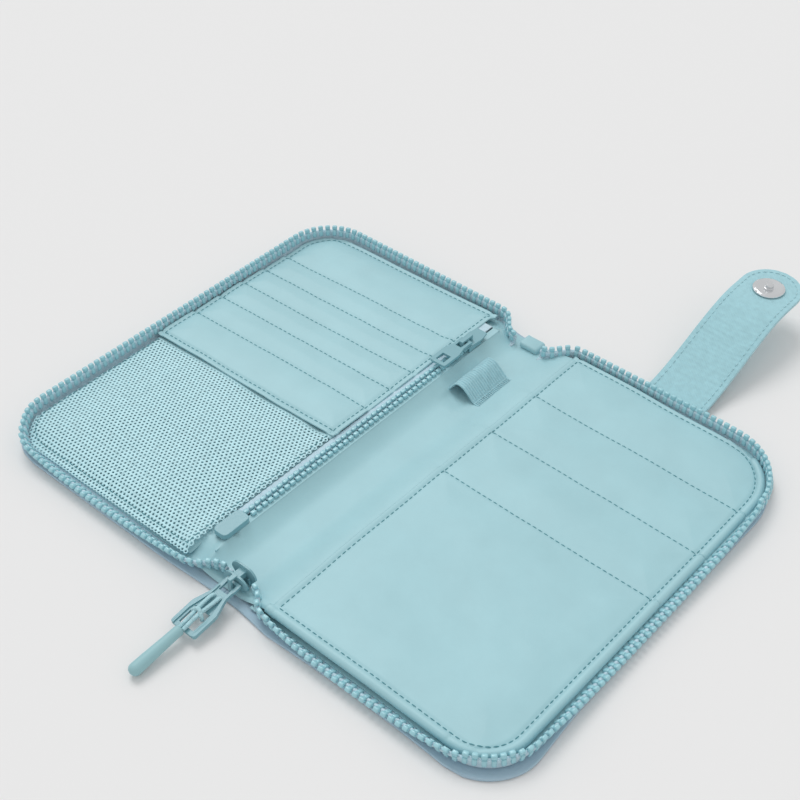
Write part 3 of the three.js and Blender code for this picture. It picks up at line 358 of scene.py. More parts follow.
def border_gap(x, y, inner, outer, far_extra=0.0):
    """Distance from the stitched border of a panel; x is taken without its sign."""
    reach = outer_edge(y, outer, far_extra=far_extra) - STITCH_INSET
    across = min(abs(x - inner - INNER_STITCH_INSET), abs(reach - x))
    return min(across, abs(y - PANEL_LOW_Y - STITCH_INSET), abs(PANEL_HIGH_Y - STITCH_INSET - y))


INNER_LIFT_X = 32.0
INNER_LIFT_WIDTH = 9.0
INNER_LIFT_Y = (-95.0, 6.0, 94.0, 6.0)


def inner_lift(across, y, z):
    """The inner edge of the left panel stands at the height of the pocket zip beside it."""
    share = smoothstep((INNER_LIFT_X - across) / INNER_LIFT_WIDTH) * plateau(y, *INNER_LIFT_Y)
    return max(z, z + (POCKET_EDGE_Z - z) * share)


def left_slope(across):
    """The left panel rises from its outer edge to its inner one."""
    return LEFT_RISE * (LEFT_OUTER_X - across) / (LEFT_OUTER_X - LEFT_INNER_X)


def left_height(x, y):
    across = abs(x)
    layers = sum(smoothstep((top - y) / 2.5 + 0.5) for top in LEFT_SLOTS)
    layers *= smoothstep((y - LEFT_SLOT_BOTTOM) / 10.0 + 0.9)
    gap = min([abs(y - top) for top in LEFT_SLOTS] + [abs(y - LEFT_HEM_Y)])
    border = border_gap(across, y, LEFT_INNER_X, LEFT_OUTER_X)
    z = inner_lift(across, y, PANEL_TOP_Z + left_slope(across) + SLOT_STEP * layers)
    z += seam_dip(gap, 0.5) + seam_dip(border) + pillow(min(gap, border), 0.8, 5.0)
    ripple = 0.22 * noise.noise(Vector((x / 7.0, y / 30.0, 9.0))) * math.exp(-(gap / 4.0) ** 2)
    return z + ripple + drift(x, y, 26.0, 0.5, 1.0) + drift(x, y, 9.0, 0.1, 2.0)


BACKING_DEPTH = 0.3
BACKING_END_DROP = 1.3


def backing_height(x, y):
    drop = BACKING_DEPTH + BACKING_END_DROP * smoothstep((-84.0 - y) / 9.0)
    return PANEL_TOP_Z + left_slope(abs(x)) - drop


def right_height(x, y):
    share = (RIGHT_OUTER_X - x) / (RIGHT_OUTER_X - RIGHT_INNER_X)
    layers = sum(smoothstep((top - y) / 3.0 + 0.5) for top in RIGHT_SLOTS)
    gap = min(abs(y - top) for top in RIGHT_SLOTS)
    border = border_gap(x, y, RIGHT_INNER_X, RIGHT_OUTER_X, FAR_CORNER_EXTRA["right"])
    z = PANEL_TOP_Z + RIGHT_RISE * share + SLOT_STEP * layers + seam_dip(border)
    if x > RIGHT_INNER_X + INNER_STITCH_INSET:
        z += seam_dip(gap) + pillow(min(gap, border), 0.9, 9.0)
    return z + drift(x, y, 34.0, 0.7, 3.0) + drift(x, y, 11.0, 0.14, 4.0)


def sheet_piece(name, side, inner, outer, low, high, height, columns, rows, thickness, far_extra=0.0):
    """A sheet of lining over part of a panel; its outer end follows the panel's rounded corners."""
    points = []
    for row in range(rows):
        y = low + (high - low) * row / (rows - 1)
        reach = outer_edge(y, outer, far_extra=far_extra)
        for column in range(columns):
            x = inner + (reach - inner) * column / (columns - 1)
            points.append((side * x, y, height(side * x, y)))
    faces = grid_faces(rows, columns)
    if side < 0:
        faces = [face[::-1] for face in faces]
    piece = new_piece(name, points, faces, LINING)
    thicken(piece, thickness)
    return piece


STITCH_BOW = 0.16
STITCH_SINK = 0.12


def stitches_along(cluster, points, height, length=1.9, pitch=2.75, radius=0.24, lift=0.1):
    """Thread dashes along a line of (x, y) points, lying on a surface."""
    route = np.array(points, float)
    marks = length_marks(route)
    total = marks[-1]
    count = int(total / pitch)

    def taper(share):
        return radius * (0.45 + 0.55 * math.sin(math.pi * min(max(share, 0.08), 0.92)))

    for i in range(count):
        middle = (i + 0.5) * total / count
        dash = []
        for k in range(5):
            x, y = place_at(route, marks, middle + length * (k / 4 - 0.5))
            bow = math.sin(math.pi * k / 4) * STITCH_BOW
            dash.append((x, y, height(x, y) + lift + bow - STITCH_SINK))
        cluster.add(*tube(dash, taper, 6))


def border_points(side, inner, outer, far_extra=0.0):
    """The stitched rectangle of a panel, with its two rounded outer corners."""
    inner_x = side * (inner + INNER_STITCH_INSET)
    points = [(inner_x, PANEL_HIGH_Y - STITCH_INSET), (inner_x, PANEL_LOW_Y + STITCH_INSET)]
    reach = outer - STITCH_INSET
    low_centre = PANEL_LOW_Y + PANEL_RADIUS
    high_centre = PANEL_HIGH_Y - PANEL_RADIUS - far_extra
    corners = ((low_centre, PANEL_RADIUS, -90), (high_centre, PANEL_RADIUS + far_extra, 0))
    for centre_y, full_radius, start in corners:
        radius = full_radius - STITCH_INSET
        for k in range(9):
            angle = math.radians(start + 90 * k / 8)
            x = reach - radius + radius * math.cos(angle)
            points.append((side * x, centre_y + radius * math.sin(angle)))
    points.append(points[0])
    return points


# Left cover: panel, card slots, their stitches and the net pocket


def left_border_height(x, y):
    """The border's stitches lie on the panel, and below its hem on the net."""
    return left_height(x, y) if y > LEFT_HEM_Y else net_height(x, y) + 0.15


def make_left_panel():
    backing = sheet_piece("left_pocket_backing", -1, LEFT_INNER_X, LEFT_OUTER_X - 0.6, PANEL_LOW_Y,
                          LEFT_HEM_Y, backing_height, 60, 60, 0.4)
    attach(backing, "left_cover")
    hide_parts("left_zip_panel")
    skin = sheet_piece("left_panel_cloth", -1, LEFT_INNER_X, LEFT_OUTER_X, LEFT_SLOT_BOTTOM, PANEL_HIGH_Y,
                       left_height, 170, 240, 0.6)
    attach(skin, "left_cover")
    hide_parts(*[f"left_card_slot_{i + 1}" for i in range(len(LEFT_SLOTS))])
    thread = Cluster()
    for y in LEFT_SLOTS + (LEFT_HEM_Y,):
        inner = (-LEFT_INNER_X - INNER_STITCH_INSET, y)
        stitches_along(thread, [inner, (-outer_edge(y, LEFT_OUTER_X) + STITCH_INSET, y)], left_height)
    stitches_along(thread, border_points(-1, LEFT_INNER_X, LEFT_OUTER_X), left_border_height)
    stitching = thread.build("left_stitching", THREAD_PAINTED_SHADE)
    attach(stitching, "left_cover")


NET_INNER_X = LEFT_INNER_X + 0.4
NET_TOP_Y = -13.6
NET_LOW_Y = -95.6
NET_PITCH_X = 1.9
NET_PITCH_Y = 1.62
NET_HOLE = 0.52
NET_SWELL = 1.7
NET_WAVE = 0.35
NET_END_DROP = 1.6
NET_HEM_COLUMNS = 120
NET_HEM_ROWS = 5


def net_height(x, y):
    across = abs(x)
    border = border_gap(across, y, LEFT_INNER_X, LEFT_OUTER_X)
    slack = 0.35 + 0.65 * smoothstep((NET_TOP_Y - y) / 18.0)
    swell = NET_SWELL * (1 - math.exp(-(border / 16.0) ** 2)) * slack
    swell += NET_WAVE * math.sin(x / 9.0 + y / 13.0) * (1 - math.exp(-(border / 12.0) ** 2))
    z = PANEL_TOP_Z + 0.7 + left_slope(across) + swell + drift(x, y, 24.0, 0.5, 7.0)
    return inner_lift(across, y, z - NET_END_DROP * smoothstep((-86.0 - y) / 9.0))


def net_cells():
    """The middles of the cells, in staggered rows that stop at the panel's outer edge."""
    columns = int((LEFT_OUTER_X - 1.6 - NET_INNER_X) / NET_PITCH_X)
    rows = int((NET_TOP_Y - NET_LOW_Y) / NET_PITCH_Y)
    half = NET_PITCH_X / 2
    for row in range(rows):
        y = NET_LOW_Y + (row + 0.5) * NET_PITCH_Y
        shift = half if row % 2 else 0.0
        edge = outer_edge(y, LEFT_OUTER_X - 0.4, low=NET_LOW_Y - 0.6)
        for column in range(columns):
            x = NET_INNER_X + half + shift + column * NET_PITCH_X
            if x + half <= edge:
                yield x, y


def six_corners(x, y):
    half = NET_PITCH_X / 2
    third = NET_PITCH_Y / 3
    return [(x, y + 2 * third), (x - half, y + third), (x - half, y - third), (x, y - 2 * third),
            (x + half, y - third), (x + half, y + third)]


def net_mesh():
    """One knitted sheet of six-sided cells with a hole in each; neighbours share their corners."""
    spots = {}
    points = []
    faces = []

    def corner(x, y):
        key = (round(x * 50), round(y * 50))
        if key not in spots:
            spots[key] = len(points)
            points.append((-x, y, net_height(-x, y)))
        return spots[key]

    for x, y in net_cells():
        cell = six_corners(x, y)
        outside = [corner(u, v) for u, v in cell]
        inside = []
        for u, v in cell:
            hole_x = x + (u - x) * NET_HOLE
            hole_y = y + (v - y) * NET_HOLE
            inside.append(len(points))
            points.append((-hole_x, hole_y, net_height(-hole_x, hole_y) - 0.1))
        for k in range(6):
            after = (k + 1) % 6
            faces.append((outside[k], inside[k], inside[after], outside[after]))
    return points, faces


def make_net():
    net = new_piece("net_pocket_cloth", *net_mesh(), NET)
    thicken(net, 0.35, 0.0)
    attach(net, "left_cover")
    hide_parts("mesh_pocket")


def make_net_hem():
    hem = []
    for row in range(NET_HEM_ROWS):
        y = NET_TOP_Y + 1.0 - row * 0.7
        crown = 0.3 * math.sin(math.pi * row / (NET_HEM_ROWS - 1))
        width = outer_edge(y, LEFT_OUTER_X) - 1.2 - NET_INNER_X
        for column in range(NET_HEM_COLUMNS):
            x = NET_INNER_X + width * column / (NET_HEM_COLUMNS - 1)
            hem.append((-x, y, net_height(-x, y) - 0.75 + crown))
    binding = new_piece("net_pocket_hem", hem, grid_faces(NET_HEM_ROWS, NET_HEM_COLUMNS), LINING)
    thicken(binding, 0.5, 1.0)
    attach(binding, "left_cover")


# Right cover: one quilted panel whose slots are stitched lines, and the spine side of the lining


SPINE_SLOPE_X = -3.0
SPINE_EDGE_X = -13.4
SPINE_EDGE_Z = 7.8
SPINE_ROWS = 200
SPINE_COLUMNS = 44
SPINE_LOW_Y = -95.5
SPINE_LENGTH = 190.0
SPINE_END_DROP = 1.3
RIGHT_SLOPE_X = 5.0
SPINE_CLIMB_Y = (-95.0, 12.0, 94.0, 9.0)
# The dip where the pull comes to lie, and where it starts, fades in, ends and fades out
PULL_DIP = 0.5
PULL_DIP_X = (-9.0, 3.0, 4.0, 3.0)
PULL_DIP_Y = (34.0, 8.0, 74.0, 8.0)
EDGE_TUCK = 1.1
TUCK_REACH = 9.5


def spine_height(x, y):
    """The lining between the pocket zip and the right panel, low over the spine and rising to both."""
    flat = SPINE_TOP_Z + 0.15 + drift(x, y, 22.0, 0.25, 5.0)
    flat -= PULL_DIP * plateau(x, *PULL_DIP_X) * plateau(y, *PULL_DIP_Y)
    if x < SPINE_SLOPE_X:
        share = min((SPINE_SLOPE_X - x) / (SPINE_SLOPE_X - SPINE_EDGE_X), 1.0)
        climb = share ** 2.2 * (0.25 + 0.75 * plateau(y, *SPINE_CLIMB_Y))
        return flat + (SPINE_EDGE_Z - flat) * climb - EDGE_TUCK * smoothstep((SPINE_EDGE_X - x) / 4.0)
    if x <= RIGHT_SLOPE_X:
        return flat
    rise = smoothstep((x - RIGHT_SLOPE_X) / (RIGHT_INNER_X + 1.0 - RIGHT_SLOPE_X))
    return flat + (right_height(max(x, RIGHT_INNER_X), y) - flat) * rise


def make_right_panel():
    panel = sheet_piece("right_panel_cloth", 1, RIGHT_INNER_X, RIGHT_OUTER_X, PANEL_LOW_Y, PANEL_HIGH_Y,
                        right_height, 190, 330, 0.6, FAR_CORNER_EXTRA["right"])
    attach(panel, "right_cover")
    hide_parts("right_panel", "right_card_slot_1", "right_card_slot_2", "right_card_slot_3")
    thread = Cluster()
    for y in RIGHT_SLOTS:
        inner = (RIGHT_INNER_X + INNER_STITCH_INSET, y)
        stitches_along(thread, [inner, (outer_edge(y, RIGHT_OUTER_X) - STITCH_INSET, y)], right_height)
    border = border_points(1, RIGHT_INNER_X, RIGHT_OUTER_X, far_extra=FAR_CORNER_EXTRA["right"])
    stitches_along(thread, border, right_height)
    stitching = thread.build("right_stitching", THREAD_PAINTED_SHADE)
    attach(stitching, "right_cover")


BINDING_REACH = 0.4
BINDING_RADIUS = 1.95
BINDING_SINK = 1.1
BINDING_NICK = 0.3
BINDING_END = math.radians(60)


def corner_arc(centre_x, centre_y, radius, angles):
    return [(centre_x + radius * math.cos(a), centre_y + radius * math.sin(a)) for a in angles]


def make_binding():
    """A rolled edge outside the stitches, nicked where the slot lines wrap over it."""
    radius = PANEL_RADIUS + BINDING_REACH
    far_radius = radius + FAR_CORNER_EXTRA["right"]
    outer = RIGHT_OUTER_X + BINDING_REACH
    low = PANEL_LOW_Y - BINDING_REACH
    high = PANEL_HIGH_Y + BINDING_REACH
    low_turn = np.linspace(0.05, math.pi / 2, 24) - math.pi / 2
    points = [(x, low) for x in np.linspace(RIGHT_INNER_X - 1, outer - radius, 90)]
    points += corner_arc(outer - radius, low + radius, radius, low_turn)
    points += [(outer, y) for y in np.linspace(low + radius + 0.5, high - far_radius, 240)]
    high_turn = np.linspace(0.05, BINDING_END, 16)
    points += corner_arc(outer - far_radius, high - far_radius, far_radius, high_turn)
    path = [(x, y, right_height(min(x, RIGHT_OUTER_X), y) - BINDING_SINK) for x, y in points]

    def size(share):
        x, y = points[min(int(share * (len(points) - 1) + 0.5), len(points) - 1)]
        if x <= outer - 1:
            return BINDING_RADIUS
        gap = min(abs(y - top) for top in RIGHT_SLOTS)
        return BINDING_RADIUS - BINDING_NICK * math.exp(-(gap / 0.6) ** 2)

    roll = new_piece("rolled_binding", *tube(path, size, 16), LINING)
    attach(roll, "right_cover")
    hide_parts("right_binding")


def make_spine_lining():
    """Two halves that meet at the middle of the spine; neither is attached to a cover, so both stay where
    they are.
    """
    halves = (("spine_lining_left", SPINE_EDGE_X, 0.0, "left_cover", -12.9, -7.6),
              ("spine_lining_right", 0.0, RIGHT_INNER_X + 0.1, "right_cover", 19.0, 6.0))
    for name, low_x, high_x, body, start, end in halves:
        points = []
        for row in range(SPINE_ROWS):
            y = SPINE_LOW_Y + SPINE_LENGTH * row / (SPINE_ROWS - 1)
            edge_drop = SPINE_END_DROP if row in (0, SPINE_ROWS - 1) else 0.0
            past_zip = max(smoothstep((-75.5 - y) / 4.0), smoothstep((y - 85.0) / 4.0))
            edge_x = low_x - TUCK_REACH * past_zip if low_x < 0 else low_x
            for column in range(SPINE_COLUMNS):
                x = edge_x + (high_x - edge_x) * column / (SPINE_COLUMNS - 1)
                points.append((x, y, spine_height(x, y) - edge_drop))
        piece = new_piece(name, points, grid_faces(SPINE_ROWS, SPINE_COLUMNS), LINING)
        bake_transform(piece)
        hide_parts("spine_lining")


# Zip round the edges


def cover_chain_path(name):
    outer = COVER_OUTER_X - ZIP_INSET
    radius = COVER_RADIUS - ZIP_INSET
    far_radius = radius + FAR_CORNER_EXTRA[name]
    low = LOW_Y[name] + ZIP_INSET
    high = COVER_HIGH_Y - ZIP_INSET
    quarter = np.linspace(0, math.pi / 2, 30)[1:]
    points = [(x, low) for x in np.linspace(CHAIN_START_X, outer - radius, 60)]
    points += corner_arc(outer - radius, low + radius, radius, quarter - math.pi / 2)
    points += [(outer, y) for y in np.linspace(low + radius, high - far_radius, 110)[1:]]
    points += corner_arc(outer - far_radius, high - far_radius, far_radius, quarter)
    points += [(x, high) for x in np.linspace(outer - far_radius, CHAIN_START_X, 60)[1:]]
    return [(SIDE[name] * x, y) for x, y in points]


def hump(value, low, high, power=0.6):
    """Nought at both ends of a stretch and one in its middle."""
    share = min(max((value - low) / (high - low), 0.0), 1.0)
    return math.sin(math.pi * share) ** power


# How a stretch of zip wall flops outwards: its lean in degrees at the ends and in the middle, how much
# shorter it looks there, how far its foot moves inwards, and where it runs
Flop = namedtuple("Flop", "end_lean middle_lean shorter inset start end power")
LEFT_SIDE_LEAN = 10.0
LEFT_LOW_FLOP = Flop(12.0, 52.0, 1.6, 0.0, 18.0, 122.0, 0.5)
RIGHT_LOW_FLOP = Flop(-6.0, 58.0, 1.3, 0.9, 20.0, 116.0, 0.6)
RIGHT_SIDE_FLOP = Flop(-6.0, 62.0, 1.9, 2.0, -86.0, 70.0, 0.6)
RIGHT_HIGH_LEAN = 14.0


def flopped(flop, place, length):
    share = hump(place, flop.start, flop.end, flop.power)
    lean = flop.end_lean + (flop.middle_lean - flop.end_lean) * share
    return lean, length - flop.shorter * share, flop.inset * share


def wall_set(name, spot, normal):
    """Lean from upright in degrees, length of the tape and how far its foot sits inwards."""
    x, y = abs(spot[0]), spot[1]
    length = TAPE_LENGTH[name]
    if name == "left":
        return flopped(LEFT_LOW_FLOP, x, length) if normal[1] < -0.3 else (LEFT_SIDE_LEAN, length, 0.0)
    if normal[1] > 0.5:
        return RIGHT_HIGH_LEAN * min(max((118 - x) / 25, -0.4), 1.0), length, 0.0
    if normal[1] < -0.5:
        return flopped(RIGHT_LOW_FLOP, x, length)
    return flopped(RIGHT_SIDE_FLOP, y, length)


TAPE_FOOT_REACH = 2.6
TAPE_FOOT_BEND = 1.5
TAPE_FOOT_Z = 0.2
TAPE_HALF = 0.27
BEAD_RADIUS = 0.85


def tape_profile(lean, length):
    """The tape's cross-section: a flat foot, a rising wall and a round bead along its top edge."""
    angle = math.radians(lean)

    def up_wall(distance):
        return np.array((distance * math.sin(angle), TAPE_FOOT_Z + distance * math.cos(angle)))

    foot = np.array((-TAPE_FOOT_BEND, TAPE_FOOT_Z))
    bend = 0.25 * foot + 0.5 * up_wall(0.0) + 0.25 * up_wall(0.4 * length)
    top = up_wall(length)
    centre = [np.array((-TAPE_FOOT_REACH, TAPE_FOOT_Z)), foot, bend, up_wall(0.4 * length), top]
    left = []
    right = []
    for i, spot in enumerate(centre):
        along = centre[min(i + 1, len(centre) - 1)] - centre[max(i - 1, 0)]
        along = along / np.linalg.norm(along)
        across = np.array((-along[1], along[0]))
        left.append(spot + across * TAPE_HALF)
        right.append(spot - across * TAPE_HALF)
    bead = [top + BEAD_RADIUS * np.array((math.sin(angle + a), math.cos(angle + a)))
            for a in np.radians((-125, -85, -45, 0, 45, 85, 125))]
    return left[:-1] + bead + right[:-1][::-1], top, angle


def bend_path(name, wall_y, end):
    start = np.array((SIDE[name] * (CHAIN_START_X - 0.05), wall_y))
    last = np.array(end)
    halfway = (start[0] + last[0]) / 2
    first_pull = np.array((halfway, wall_y))
    last_pull = np.array((halfway, last[1]))
    points = []
    for t in np.linspace(0, 1, 40):
        spot = ((1 - t) ** 3 * start + 3 * (1 - t) ** 2 * t * first_pull + 3 * (1 - t) * t * t * last_pull
                + t ** 3 * last)
        points.append(tuple(spot))
    return points


TANGENT_SPAN = 0.4


def even_places(points, step, outward):
    """Evenly spaced places along a path: spot, tangent and outward normal."""
    route = np.array(points, float)
    marks = length_marks(route)
    count = max(int(marks[-1] / step), 1)
    places = []
    for i in range(count):
        at = (i + 0.5) * marks[-1] / count
        tangent = place_at(route, marks, at + TANGENT_SPAN) - place_at(route, marks, at - TANGENT_SPAN)
        tangent = tangent / np.linalg.norm(tangent)
        places.append((place_at(route, marks, at), tangent, outward * np.array((tangent[1], -tangent[0]))))
    return places


TOOTH_CLAMP = rounded_block((1.8, 2.5, 2.9), 0.45)
TOOTH_NECK = rounded_block((1.3, 1.5, 2.0), 0.2)
TOOTH_HEAD = rounded_block((2.3, 1.8, 1.9), 0.55)
# Each part of a tooth with its place above the bead's middle
TOOTH_PARTS = ((TOOTH_CLAMP, -0.6), (TOOTH_NECK, 1.0), (TOOTH_HEAD, 1.95))
BEND_BASE_Z = 3.2
BEND_LEAN = 4.0
BEND_TAPE_LENGTH = 3.4
WALL_STEP = 1.0


def place_form(cluster, form, spot, along, out, up):
    points, faces = form
    moved = points @ np.array((along, out, up)) + spot
    cluster.add([tuple(point) for point in moved], faces)


def bend_set(name, y, share):
    """The wall's set along a bending end, from that of the cover's wall to low and almost upright."""
    start = (SIDE[name] * CHAIN_START_X, y)
    lean, length, inset = wall_set(name, start, np.array((0.0, math.copysign(1, y))))
    return (lean * (1 - share) + BEND_LEAN * share, length * (1 - share) + BEND_TAPE_LENGTH * share,
            inset * (1 - share), TAPE_BASE_Z + (BEND_BASE_Z - TAPE_BASE_Z) * share)


def chain_wall(places, settings):
    """Points of the tape wall, one cross-section at each place."""
    wall = []
    for i, (spot, _, normal) in enumerate(places):
        lean, length, inset, base_z = settings(i, spot, normal)
        for u, v in tape_profile(lean, length)[0]:
            place = spot + normal * (u - inset)
            wall.append((place[0], place[1], base_z + v))
    return wall


def chain_teeth(places, settings, total):
    """The teeth on the bead; total is how many places the wall below them has."""
    teeth = Cluster()
    for i, (spot, tangent, normal) in enumerate(places):
        lean, length, inset, base_z = settings(i * total / len(places), spot, normal)
        _, top, angle = tape_profile(lean, length)
        along = np.array((tangent[0], tangent[1], 0.0))
        level = np.array((normal[0], normal[1], 0.0))
        up = level * math.sin(angle) + np.array((0, 0, math.cos(angle)))
        out = level * math.cos(angle) - np.array((0, 0, math.sin(angle)))
        place = spot + normal * (top[0] - inset)
        root = np.array((place[0], place[1], base_z + top[1]))
        for form, rise in TOOTH_PARTS:
            place_form(teeth, form, root + up * rise, along, out, up)
    return teeth


def make_chain(label, name, points, outward, node_name, bend=False):
    """A soft tape wall, a woven bead on its top edge, and the moulded teeth that grip the bead."""
    wall_places = even_places(points, WALL_STEP, outward)
    total = len(wall_places)

    def settings(i, spot, normal):
        if bend:
            return bend_set(name, spot[1], smoothstep(i / max(total - 1, 1)))
        return (*wall_set(name, spot, normal), TAPE_BASE_Z)

    ends = even_places(points, 0.05, outward)
    places = [ends[0]] + wall_places + [ends[-1]]
    wall = chain_wall(places, settings)
    tape = new_piece(f"{label}_tape", wall, capped_faces(len(places), len(wall) // len(places)), TAPE)
    teeth = chain_teeth(even_places(points, TOOTH_PITCH, outward), settings, total)
    row = teeth.build(f"{label}_teeth", TEETH)
    for piece in (tape, row):
        if bend:
            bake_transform(piece)
        else:
            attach(piece, f"{name}_cover")
    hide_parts(node_name)


def make_edge_zip():
    for name, side in SIDE.items():
        make_chain(f"{name}_edge", name, cover_chain_path(name), side, f"{name}_zip_chain")
        low = bend_path(name, LOW_Y[name] + ZIP_INSET, CHAIN_LOW_END[name])
        make_chain(f"{name}_low_bend", name, low, -side, f"{name}_chain_bend_low", True)
        high = bend_path(name, COVER_HIGH_Y - ZIP_INSET, CHAIN_HIGH_END[name])
        make_chain(f"{name}_high_bend", name, high, side, f"{name}_chain_bend_high", True)


# Outer shell: two halves that meet under the spine, their edges drawn in between the corners


SHELL_ROWS = 150
SHELL_COLUMNS = 60
SHELL_TOP_Z = 1.35
SHELL_THICKNESS = 1.3
SHELL_BEVEL = 0.4
SHELL_SPINE_LOW_Y = -99.0
SHELL_SPINE_NOTCH = 5.0
SHELL_SPINE_SPAN = (34.0, 30.0)
RIGHT_SIDE_DRAW = 2.2
RIGHT_LOW_DRAW = 1.5
LEFT_SIDE_DRAW = 0.3
SHELL_CORNER_SHARE = 1.6


def shell_points(name):
    low_y = LOW_Y[name]
    right = name == "right"
    corner = FAR_CORNER_EXTRA[name] * SHELL_CORNER_SHARE
    points = []
    for row in range(SHELL_ROWS):
        share = row / (SHELL_ROWS - 1)
        level = low_y + (COVER_HIGH_Y - low_y) * share
        draw = RIGHT_SIDE_DRAW * smoothstep((level + 90.0) / 40.0) if right else LEFT_SIDE_DRAW
        reach = outer_edge(level, COVER_OUTER_X, low_y, COVER_HIGH_Y, COVER_RADIUS, corner) - draw
        for column in range(SHELL_COLUMNS):
            x = reach * column / (SHELL_COLUMNS - 1)
            spine = smoothstep((SHELL_SPINE_SPAN[0] - x) / SHELL_SPINE_SPAN[1])
            low = low_y + (SHELL_SPINE_LOW_Y - low_y) * spine
            low += RIGHT_LOW_DRAW * hump(x, 26.0, 112.0) if right else 0.0
            high = COVER_HIGH_Y - SHELL_SPINE_NOTCH * spine
            points.append((SIDE[name] * x, low + (high - low) * share, SHELL_TOP_Z))
    return points


def make_shell():
    for name, side in SIDE.items():
        faces = grid_faces(SHELL_ROWS, SHELL_COLUMNS)
        if side < 0:
            faces = [face[::-1] for face in faces]
        shell = new_piece(f"{name}_shell_cloth", shell_points(name), faces, SHELL)
        thicken(shell, SHELL_THICKNESS)
        round_edges(shell, SHELL_BEVEL * MM, 2, 50)
        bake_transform(shell)
        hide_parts(f"{name}_shell", "spine_shell")


# Pocket zip: a woven band beside the folded panel edge and two rows of teeth


POCKET_TAPE_ENDS = (-76.0, 86.0)
POCKET_CHAIN_ENDS = (-68.6, 73.0)
POCKET_BAND_ROWS = 160
POCKET_BAND_COLUMNS = 9
POCKET_BAND_SAG = 0.15
POCKET_BAND_THICKNESS = 0.5
POCKET_TOOTH = rounded_block((1.6, 2.35, 1.6), 0.4)
POCKET_TOOTH_PITCH = 3.1
POCKET_TOOTH_SHIFT = 1.3
POCKET_TOOTH_RISE = 0.7


def band_points(from_x, to_x):
    low, high = POCKET_TAPE_ENDS
    points = []
    for row in range(POCKET_BAND_ROWS):
        y = low + (high - low) * row / (POCKET_BAND_ROWS - 1)
        for column in range(POCKET_BAND_COLUMNS):
            share = column / (POCKET_BAND_COLUMNS - 1)
            sag = POCKET_BAND_SAG * math.sin(math.pi * share)
            points.append((from_x + (to_x - from_x) * share, y, POCKET_TAPE_TOP - sag))
    return points


def make_pocket_zip():
    bands = (("pocket_band_left", -21.9, -17.5, "pocket_tape_left", TAPE),
             ("pocket_band_right", -16.5, -13.3, "pocket_tape_right", LINING))
    for name, from_x, to_x, node_name, material in bands:
        faces = grid_faces(POCKET_BAND_ROWS, POCKET_BAND_COLUMNS)
        band = new_piece(name, band_points(from_x, to_x), faces, material)
        thicken(band, POCKET_BAND_THICKNESS)
        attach(band, "left_cover")
        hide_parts(node_name)
    teeth = Cluster()
    low, high = POCKET_CHAIN_ENDS
    count = int((high - low) / POCKET_TOOTH_PITCH)
    for side, shift in ((-1, 0.0), (1, 0.5)):
        x = POCKET_ZIP_X + side * POCKET_TOOTH_SHIFT
        for i in range(count):
            y = low + (i + 0.5 + shift) * POCKET_TOOTH_PITCH
            spot = np.array((x, y, POCKET_TAPE_TOP + POCKET_TOOTH_RISE))
            place_form(teeth, POCKET_TOOTH, spot, *np.eye(3))
    row = teeth.build("pocket_teeth", TEETH)
    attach(row, "left_cover")


# Pen loop: ribbed webbing over two sewn feet


LOOP_PROFILE = ((-9.4, 3.15), (-8.2, 3.4), (-6.6, 5.6), (-4.9, 8.3), (-3.0, 9.2), (-0.6, 8.7), (2.0, 6.6),
                (4.3, 4.3), (5.6, 3.5), (6.6, 3.35), (8.4, 3.3))
LOOP_ENDS = (44.0, 67.0)
LOOP_THICKNESS = 0.7
LOOP_RIB = 1.3
LOOP_RIB_DEPTH = 0.6
LOOP_FOOT_RIB_SHARE = 0.35
LOOP_FOOT_COLUMN = 38
LOOP_ROWS = 170
LOOP_COLUMNS = 46
LOOP_FOOT_ROWS = (6.3, 7.1, 7.9)
LOOP_FOOT_Z = 3.75


def loop_curve():
    """The loop's profile as evenly spaced places, its corners eased."""
    profile = np.array(LOOP_PROFILE)
    marks = length_marks(profile)
    last = LOOP_COLUMNS - 1
    even = [place_at(profile, marks, at) for at in np.linspace(0, marks[-1], LOOP_COLUMNS)]
    return [even[0]] + [(even[i - 1] + 2 * even[i] + even[i + 1]) / 4 for i in range(1, last)] + [even[last]]


def make_pen_loop():
    curve = loop_curve()
    low, high = LOOP_ENDS
    points = []
    for row in range(LOOP_ROWS):
        y = low + (high - low) * row / (LOOP_ROWS - 1)
        rib = abs(math.sin(math.pi * (y - low) / LOOP_RIB)) ** 0.5
        for i, spot in enumerate(curve):
            along = curve[min(i + 1, LOOP_COLUMNS - 1)] - curve[max(i - 1, 0)]
            normal = np.array((-along[1], along[0])) / np.linalg.norm(along)
            share = LOOP_FOOT_RIB_SHARE if i > LOOP_FOOT_COLUMN else 1.0
            bulge = normal * LOOP_RIB_DEPTH * rib * share
            points.append((spot[0] + bulge[0], y, spot[1] + bulge[1]))
    loop = new_piece("pen_loop_webbing", points, grid_faces(LOOP_ROWS, LOOP_COLUMNS), WEBBING)
    thicken(loop, LOOP_THICKNESS)
    stitching = Cluster()
    for x in LOOP_FOOT_ROWS:
        ends = [(x, low + 0.5), (x, high - 0.5)]
        stitches_along(stitching, ends, lambda u, v: LOOP_FOOT_Z, 0.8, 1.12, 0.26, 0.12)
    foot = stitching.build("pen_loop_stitching", CORD)
    for piece in (loop, foot):
        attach(piece, "spine")
        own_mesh(piece)
    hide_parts("pen_loop")


TAB_SIZE = (9.5, 7.4, 3.0)
TAB_BEVEL = 1.3
TAB_CENTRE = (1.5, 91.0, 4.3)
TAB_WAVE = 0.5


def make_end_tab():
    points, faces = rounded_block(TAB_SIZE, TAB_BEVEL, 3)
    x, y, z = TAB_CENTRE
    bent = [(p[0] + x, p[1] + y, p[2] + z + TAB_WAVE * math.sin(p[0] * 0.9)) for p in points]
    tab = new_piece("zip_end_fold", bent, faces, LINING)
    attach(tab, "spine")
    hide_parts("zip_end_tab")


# Snap strap


